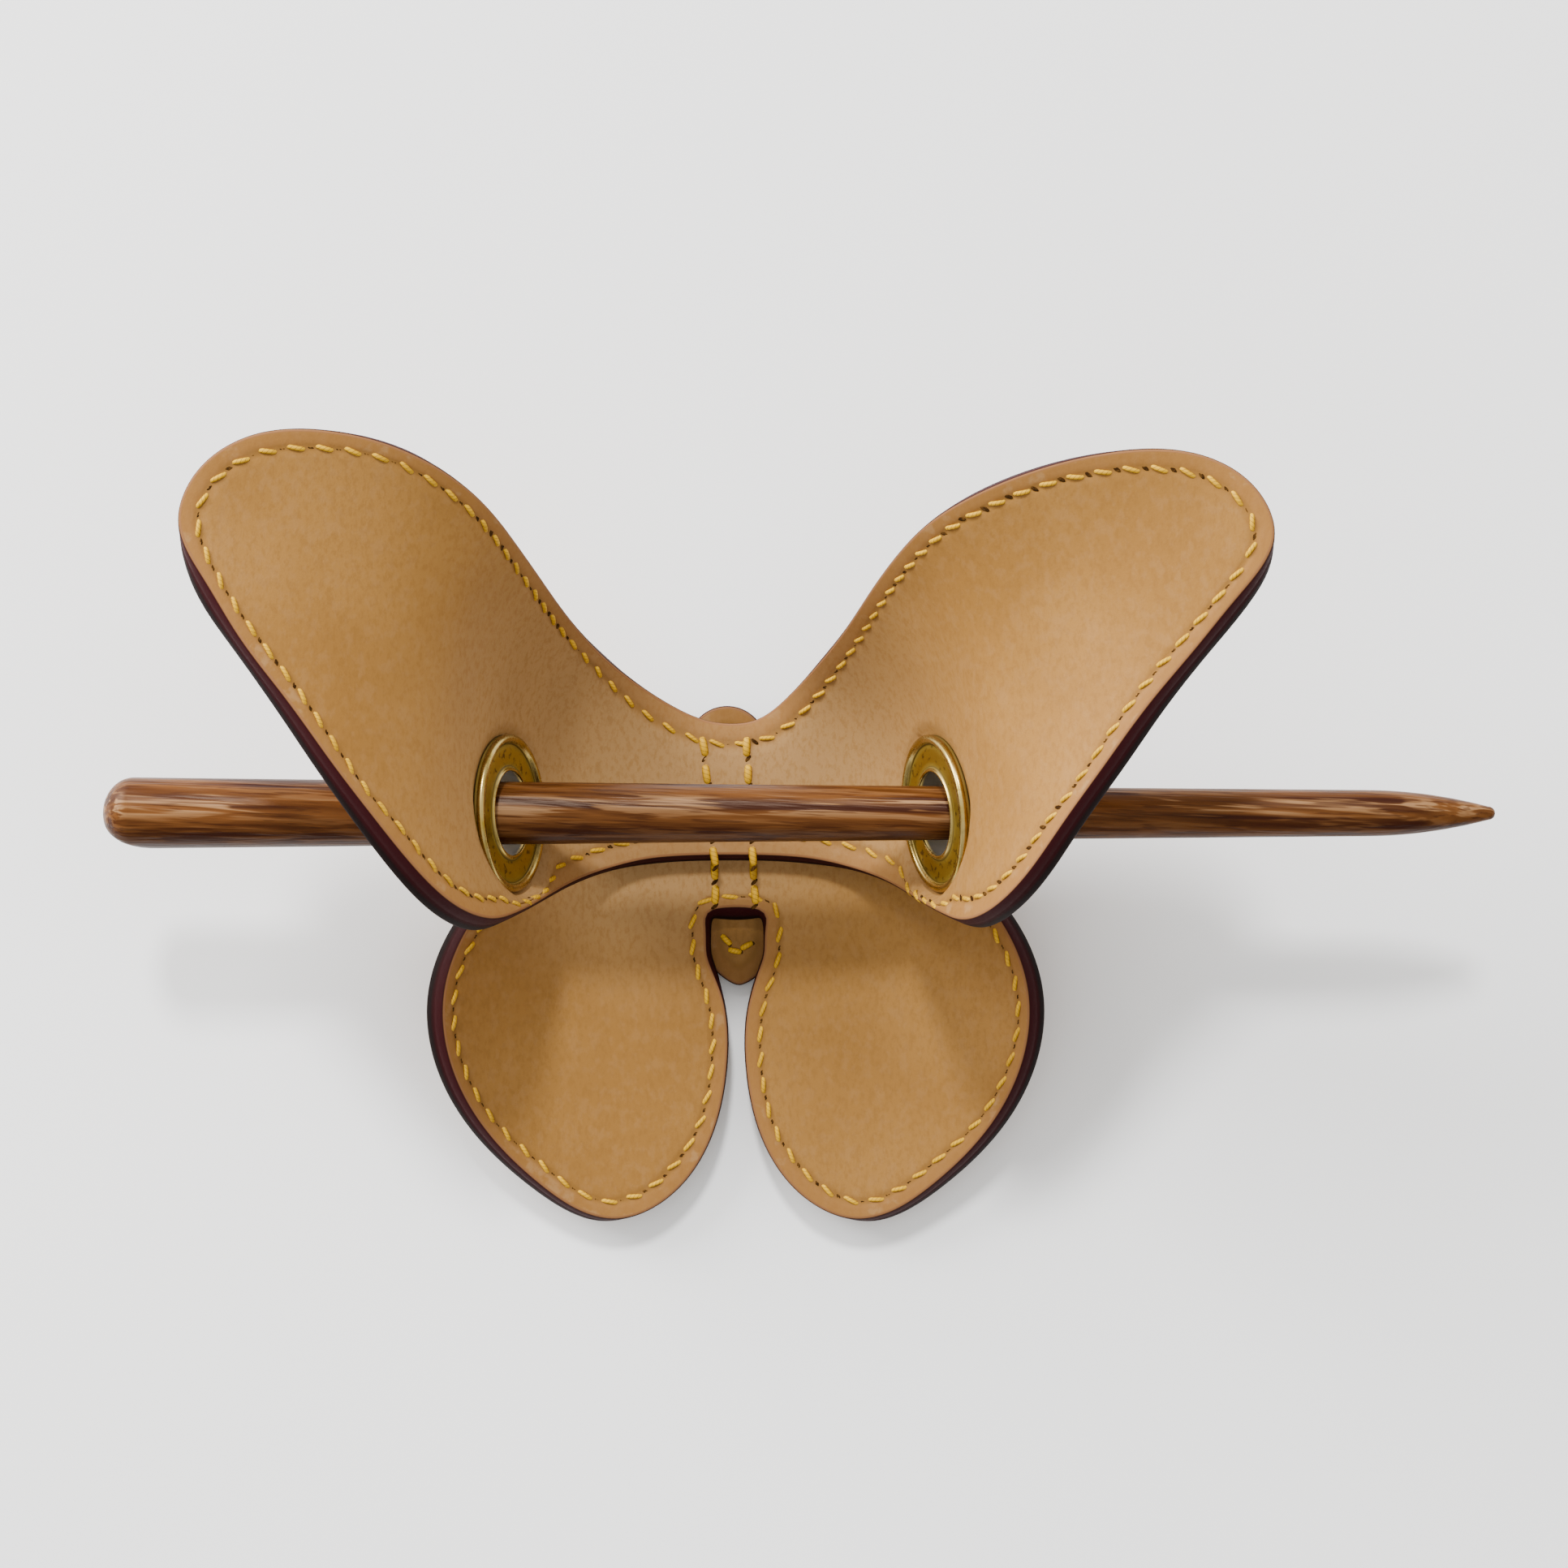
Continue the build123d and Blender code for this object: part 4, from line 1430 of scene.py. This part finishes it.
    def slant_at(self, place: Array, outward: Array) -> Array:
        """How far the hair face's edge is set in: most at the outer sides, none in the slot and at the top."""
        across, y = place[:, 0] - self.shift, place[:, 1]
        wide = self.edge_slant * smooth_step(*self.side_fade, outward[:, 0] * np.sign(across))
        notch = (np.abs(across) < self.notch_width) & (np.abs(y - self.notch_middle) < self.notch_reach)
        into = np.maximum(-outward[:, 1], self.notch_right_share * outward[:, 0])
        return wide * smooth_step(*self.top_fade, y) + self.notch_slant * smooth_step(*self.notch_fade, into) * notch

    def seams(self, wall: LeatherWall) -> list[StitchLine]:
        """The stitches along the edge, on both faces, without the hidden stretches."""
        hair, outer = wall.stitch_line(Face.HAIR), wall.stitch_line(Face.OUTER)
        (x, y, _), (outer_x, outer_y, _) = hair.points.T, outer.points.T
        side_x, side_y = self.side_seam
        strap_x, strap_y = self.strap_corner
        shown = (y < self.seam_top) | ((np.abs(x) > side_x) & (y < side_y))
        return [*hair.kept(shown), *outer.kept((np.abs(outer_x) >= strap_x) | (outer_y <= strap_y))]


@dataclass
class BodyStrap:
    """The strap under the panels: a rounded head above the waist and a pointed tail in the notch."""

    thickness: float = 2.0
    width: float = 8.2
    swell: float = 1.2
    head_top: float = 13.2
    head_shoulder: float = 11.0
    head_shift: float = -0.5
    tail_shoulder: float = 18.0
    tail_tip: float = 21.7
    tail_shift: float = 1.0
    tail_bulge: float = 0.4
    edge_step: float = 0.4
    # A darker copy of the leather: partly the strap's own tone, partly painted shade on the tail in the notch; its
    # painted light reaches little
    finish: LeatherFinish = LeatherFinish().toned("leather_strap", 0.70, (0.012, 0.004))
    tail_stitch: Sequence[Pair] = ((-0.60, -15.9), (0.48, -17.3), (1.40, -17.25), (2.05, -16.5))

    def faces_at(self, flat: Array) -> FacePair:
        """Hair and outer face of the flat strap."""
        return tuple(np.column_stack([flat, np.full(len(flat), height)]) for height in (self.thickness, 0.0))

    def wall(self) -> LeatherWall:
        """The wall with its outline."""
        half = self.width / 2
        tail_y = -(self.tail_shoulder + self.tail_tip) / 2 - self.tail_bulge
        middle = np.array([self.head_shift + self.tail_shift, self.head_shoulder - self.tail_shoulder]) / 2
        head = np.array([(self.head_shift + side * half, self.head_shoulder + (side == 0) * (
            self.head_top - self.head_shoulder)) for side in (-1, 0, 1)])
        tail = {side: np.array([self.tail_shift + side * half, -self.tail_shoulder]) for side in (-1, 1)}
        tip = np.array([self.tail_shift, -self.tail_tip])
        bend = {side: np.array([self.tail_shift + side * (half / 2 + self.tail_bulge), tail_y]) for side in (-1, 1)}
        out = np.array([half + self.swell, 0.0])
        loop = np.concatenate([arc_through(np.array(ends), 40) for ends in (
            head, (head[2], middle + out, tail[1]), (tail[1], bend[1], tip), (tip, bend[-1], tail[-1]),
            (tail[-1], middle - out, head[0]))])
        loop = even_loop(loop, run_length(loop), self.edge_step, 3)
        return LeatherWall("body_strap_leather", self.faces_at, loop, np.full(len(loop), STITCH_DEPTH),
                           lambda place, outward: np.zeros(len(place)),
                           rings=(0.35, 0.6, 0.9, 1.2), ditch=0.0, spacing=0.8)

    def seams(self, wall: LeatherWall) -> list[StitchLine]:
        """The strap has no stitches along its edge."""
        return []

    def mark(self) -> StitchLine:
        """The small V of stitches on the tail."""
        corners = np.array(self.tail_stitch)
        return line_on(self.faces_at, resample(corners, run_length(corners), 24), Face.HAIR, -BAR_SINK)


def bars_on(panel: UpperWings | LowerWings) -> list[StitchLine]:
    """The columns of short stitches that hold a panel's middle to the strap."""
    return [line_on(panel.faces_at, panel.flat_of(np.linspace((top, panel.bar_top), (low, panel.bar_low), 24)),
                    Face.HAIR, -BAR_SINK) for top, low in panel.bar_places]


# Hard pieces


@dataclass
class Eyelet:
    """A brass eyelet: a flange with a rounded rim, a rolled lip round the bore, and a washer behind the wall."""

    seat: Seat
    flange_radius: float = 9.4
    lip_radius: float = 5.0
    lip_size: float = 0.20
    lip_height: float = 0.60
    bead: float = 0.50
    bead_height: float = 0.62
    throat_radius: float = 5.8
    bore_radius: float = 5.85
    barrel_radius: float = 6.55
    back_radius: float = 8.3
    underside: float = -0.23
    back_face: float = -2.72
    back_end: float = -3.62
    segments: int = 120
    finish: BrassFinish = field(default_factory=BrassFinish)

    def profile(self) -> Array:
        """Radius, height, polish and painted shade of the section, once round from the bore's back end."""
        ring, back, end = self.flange_radius - self.bead, self.back_radius, self.back_end
        middle, barrel = self.lip_radius + self.lip_size, self.barrel_radius
        roll, turn = np.radians(np.linspace(200, 20, 9)), np.radians(np.linspace(172, -60, 14))
        lip = [(middle + self.lip_size * math.cos(a), self.lip_height + self.lip_size * math.sin(a), 1.0, 0.0)
               for a in roll]
        rim = [(ring + self.bead * math.cos(a), self.bead_height + self.bead * math.sin(a), 1.0, 0.0) for a in turn]
        face = [(middle + 0.42, 0.50, 0.0, 0.9), (middle + 0.60, 0.46, 0.0, 0.3), (middle + 1.0, 0.50, 0.05, 0.0),
                (ring - 1.3, 0.56, 0.05, 0.0), (ring - 0.85, 0.55, 0.0, 0.35), (ring - 0.62, 0.50, 0.0, 0.95)]
        under = [(self.flange_radius - 0.08, -0.1, 0.0, 1.0), (self.flange_radius - 0.2, self.underside, 0.0, 1.0),
                 (barrel + 0.1, self.underside, 0.0, 0.5), (barrel, self.underside - 0.1, 0.0, 0.5),
                 (barrel, self.back_face + 0.1, 0.0, 0.5), (barrel + 0.1, self.back_face, 0.0, 0.5)]
        washer = [(back - 0.08, self.back_face, 0.3, 0.5), (back, self.back_face - 0.15, 0.8, 0.0),
                  (back - 0.08, end + 0.35, 1.0, 0.0), (back - 0.35, end + 0.08, 1.0, 0.0),
                  (back - 0.8, end, 0.6, 0.0), (self.bore_radius + 0.7, end + 0.05, 0.3, 0.0),
                  (self.throat_radius + 0.15, end, 0.8, 0.0)]
        bore = [(self.throat_radius, end + 0.15, 0.0, 0.9), (self.bore_radius - 0.25, -1.9, 0.0, 0.9),
                (self.lip_radius + 0.15, 0.1, 0.0, 0.9)]
        return np.array([*bore, *lip, *face, *rim, *under, *washer])

    def build(self, node: str) -> None:
        """Make the eyelet in place of its CAD node."""
        profile = self.profile()
        points, faces = lathe(profile[:, :2], self.segments)
        piece = new_object(f"{node}_brass", self.seat.real(points), faces)
        add_attribute(piece, "polish", np.tile(profile[:, 2], self.segments))
        # Painted shade: the bore, the flange's underside and barrel, and the grooves beside the lip and the rim are
        # laid dark
        add_attribute(piece, "painted_shade", np.tile(profile[:, 3], self.segments))
        dress(piece, self.finish.build(), LEATHER_BODY, node)


@dataclass
class Stick:
    """The wooden stick: a domed, slanted butt at the left, a slim taper and a point at the right."""

    height: float
    length: float = 165.0
    overhang: float = 74.1
    butt_radius: float = 4.25
    butt_dome: float = 3.6
    slant_reach: float = 0.15
    slant_length: float = 6.6
    slant_overrun: float = 0.1
    slant_blend: float = 0.18
    middle_radius: float = 3.42
    taper_radius: float = 2.75
    taper_length: float = 15.0
    taper_bulge: float = 0.45
    point_radius: float = 0.8
    segments: int = 64
    finish: WoodFinish = field(default_factory=WoodFinish)

    def _sections(self) -> Array:
        """Rows of x and radius from the butt to the point."""
        left, right = -self.overhang, self.length - self.overhang
        shoulder, taper, end = left + self.butt_dome, right - self.taper_length, right - self.point_radius
        dome = [(left + self.butt_dome * (1 - math.cos(a)), self.butt_radius * math.sin(a))
                for a in np.linspace(0.0, math.pi / 2, 22)[1:]]
        body = [(x, float(np.interp(x, [shoulder, 0.0, taper], [self.butt_radius, self.middle_radius,
                                                                self.taper_radius])))
                for x in np.linspace(shoulder, taper, 150)[1:]]
        ogive = [(taper + (end - taper) * share, self.taper_radius + (self.point_radius - self.taper_radius) * share
                  + 4 * self.taper_bulge * share * (1 - share)) for share in np.linspace(0, 1, 30)[1:]]
        tip = [(end + self.point_radius * math.sin(a), self.point_radius * math.cos(a))
               for a in np.linspace(0.0, math.pi / 2, 10)[1:-1]]
        return np.array([*dome, *body, *ogive, *tip])

    def _cut(self, x: float, y: float) -> float:
        """Sideways place of a point of the round stick, after the butt's slanted cut."""
        inside_cut = (self.slant_length - self.overhang - x) / (self.slant_length + self.slant_reach)
        floor = -(self.butt_radius + self.slant_overrun) * math.sqrt(1 - max(inside_cut, 0.0) ** 2)
        return floor + 0.5 * ((y - floor) + math.hypot(y - floor, self.slant_blend))

    def build(self) -> None:
        """Make the stick in place of its CAD node."""
        rows, count = self._sections(), self.segments
        turn = turns(count)
        points = [(x, self._cut(x, radius * math.cos(angle)), self.height + radius * math.sin(angle))
                  for x, radius in rows for angle in turn]
        start, last = len(points), len(points) - count
        points += [(-self.overhang, 0.0, self.height), (self.length - self.overhang, 0.0, self.height)]
        faces = strips(range(0, start, count), count) + fan(start, 0, count) + fan(start + 1, last, count)
        piece = new_object("stick_wood", np.array(points), faces)
        dress(piece, self.finish.build(), STICK_BODY, "stick")


# Studio


@dataclass
class Studio:
    """The table, the lights and the camera, straight above the barrette."""

    camera_place: Spot = (0.00658, 0.00346, 0.440)
    lens: float = 80.98
    sensor: float = 36.0
    key_from: Spot = (-0.08, 0.68, 0.73)
    key_strength: float = 3.4
    key_spread: float = 8.0
    sky_from: Spot = (-0.20, 0.41, 0.89)
    sky_colour: Colour = (1.0, 0.99, 0.97)
    sky_start: float = -0.3
    sky_low: float = 0.30
    sky_high: float = 1.55
    panel_places: Sequence[Spot] = ((-0.60, 0.50, 0.32), (0.65, 0.15, 0.32))
    panel_powers: Sequence[float] = (16.5, 0.5)
    panel_size: float = 0.5
    floor_half: float = 2000.0
    floor_gap: float = 0.05
    floor_steps: int = 8
    near: float = 0.01

    def floor(self) -> None:
        """The pale table under the strap."""
        count = self.floor_steps + 1
        grid = np.linspace(-self.floor_half, self.floor_half, count)
        points = np.array([(x, y, -self.floor_gap) for y in grid for x in grid])
        corners = (r * count + c for r in range(self.floor_steps) for c in range(self.floor_steps))
        faces = [[k, k + 1, k + 1 + count, k + count] for k in corners]
        made = new_object("table", points, faces, outward=False)
        made.data.materials.append(FloorFinish().build())

    def _light(self, name: str, kind: str, place: Spot, **settings: float) -> None:
        """One light at a place, or from there, towards the barrette."""
        lamp = bpy.data.lights.new(name, kind)
        for key, value in settings.items():
            setattr(lamp, key, value)
        made = linked(name, lamp)
        made.location = place
        made.rotation_euler = Vector(place).to_track_quat("Z", "Y").to_euler()

    def lights(self) -> None:
        """A soft sun from the wings' side, a broad panel on each side and a white surround, brightest above."""
        self._light("key", "SUN", self.key_from, energy=self.key_strength, angle=math.radians(self.key_spread))
        for place, power in zip(self.panel_places, self.panel_powers):
            self._light("panel", "AREA", place, energy=power, size=self.panel_size)
        world = bpy.data.worlds.new("surround")
        world.use_nodes = True
        nodes = Nodes(world.node_tree)
        around = nodes.add("ShaderNodeTexCoord").outputs["Generated"]
        height = nodes.add("ShaderNodeVectorMath", {0: around, 1: self.sky_from}, operation="DOT_PRODUCT")
        level = nodes.add("ShaderNodeMapRange", {
            "Value": height.outputs["Value"], "From Min": self.sky_start, "To Min": self.sky_low,
            "To Max": self.sky_high})
        sky = world.node_tree.nodes["Background"]
        nodes.feed(sky.inputs["Color"], (*self.sky_colour, 1.0))
        nodes.feed(sky.inputs["Strength"], level.outputs["Result"])
        bpy.context.scene.world = world

    def camera(self) -> None:
        """The camera, looking straight down."""
        eye = bpy.data.cameras.new("camera")
        eye.sensor_width = self.sensor
        eye.lens = self.lens
        eye.clip_start = self.near
        made = linked("camera", eye)
        made.location = self.camera_place
        bpy.context.scene.camera = made


def main() -> None:
    """Build the barrette piece by piece, then the studio."""
    logging.basicConfig(level=logging.INFO, format="%(name)s %(message)s")
    upper, lower, strap = UpperWings(), LowerWings(), BodyStrap()
    lines: list[StitchLine] = []
    for panel, node in ((upper, "upper_wings"), (lower, "lower_wings"), (strap, "body_strap")):
        wall = panel.wall()
        dress(wall.build(), panel.finish.build(), LEATHER_BODY, node)
        lines += panel.seams(wall)
    Stitching().sew(lines)
    Stitching(pitch=2.9, length=2.8, width=0.95, height=0.6, slant=0.0, name="bar_stitches").sew(
        [*bars_on(upper), *bars_on(lower)])
    Stitching(pitch=1.5, length=2.1, width=0.72, slant=0.0, hole_length=0.7, name="tail_stitches").sew([strap.mark()])
    for side, node in ((Side.LEFT, "eyelet_left"), (Side.RIGHT, "eyelet_right")):
        Eyelet(upper.seats[side]).build(node)
    Stick(upper.stick_height).build()
    studio = Studio()
    studio.floor()
    studio.lights()
    studio.camera()


if __name__ == "__main__":
    main()
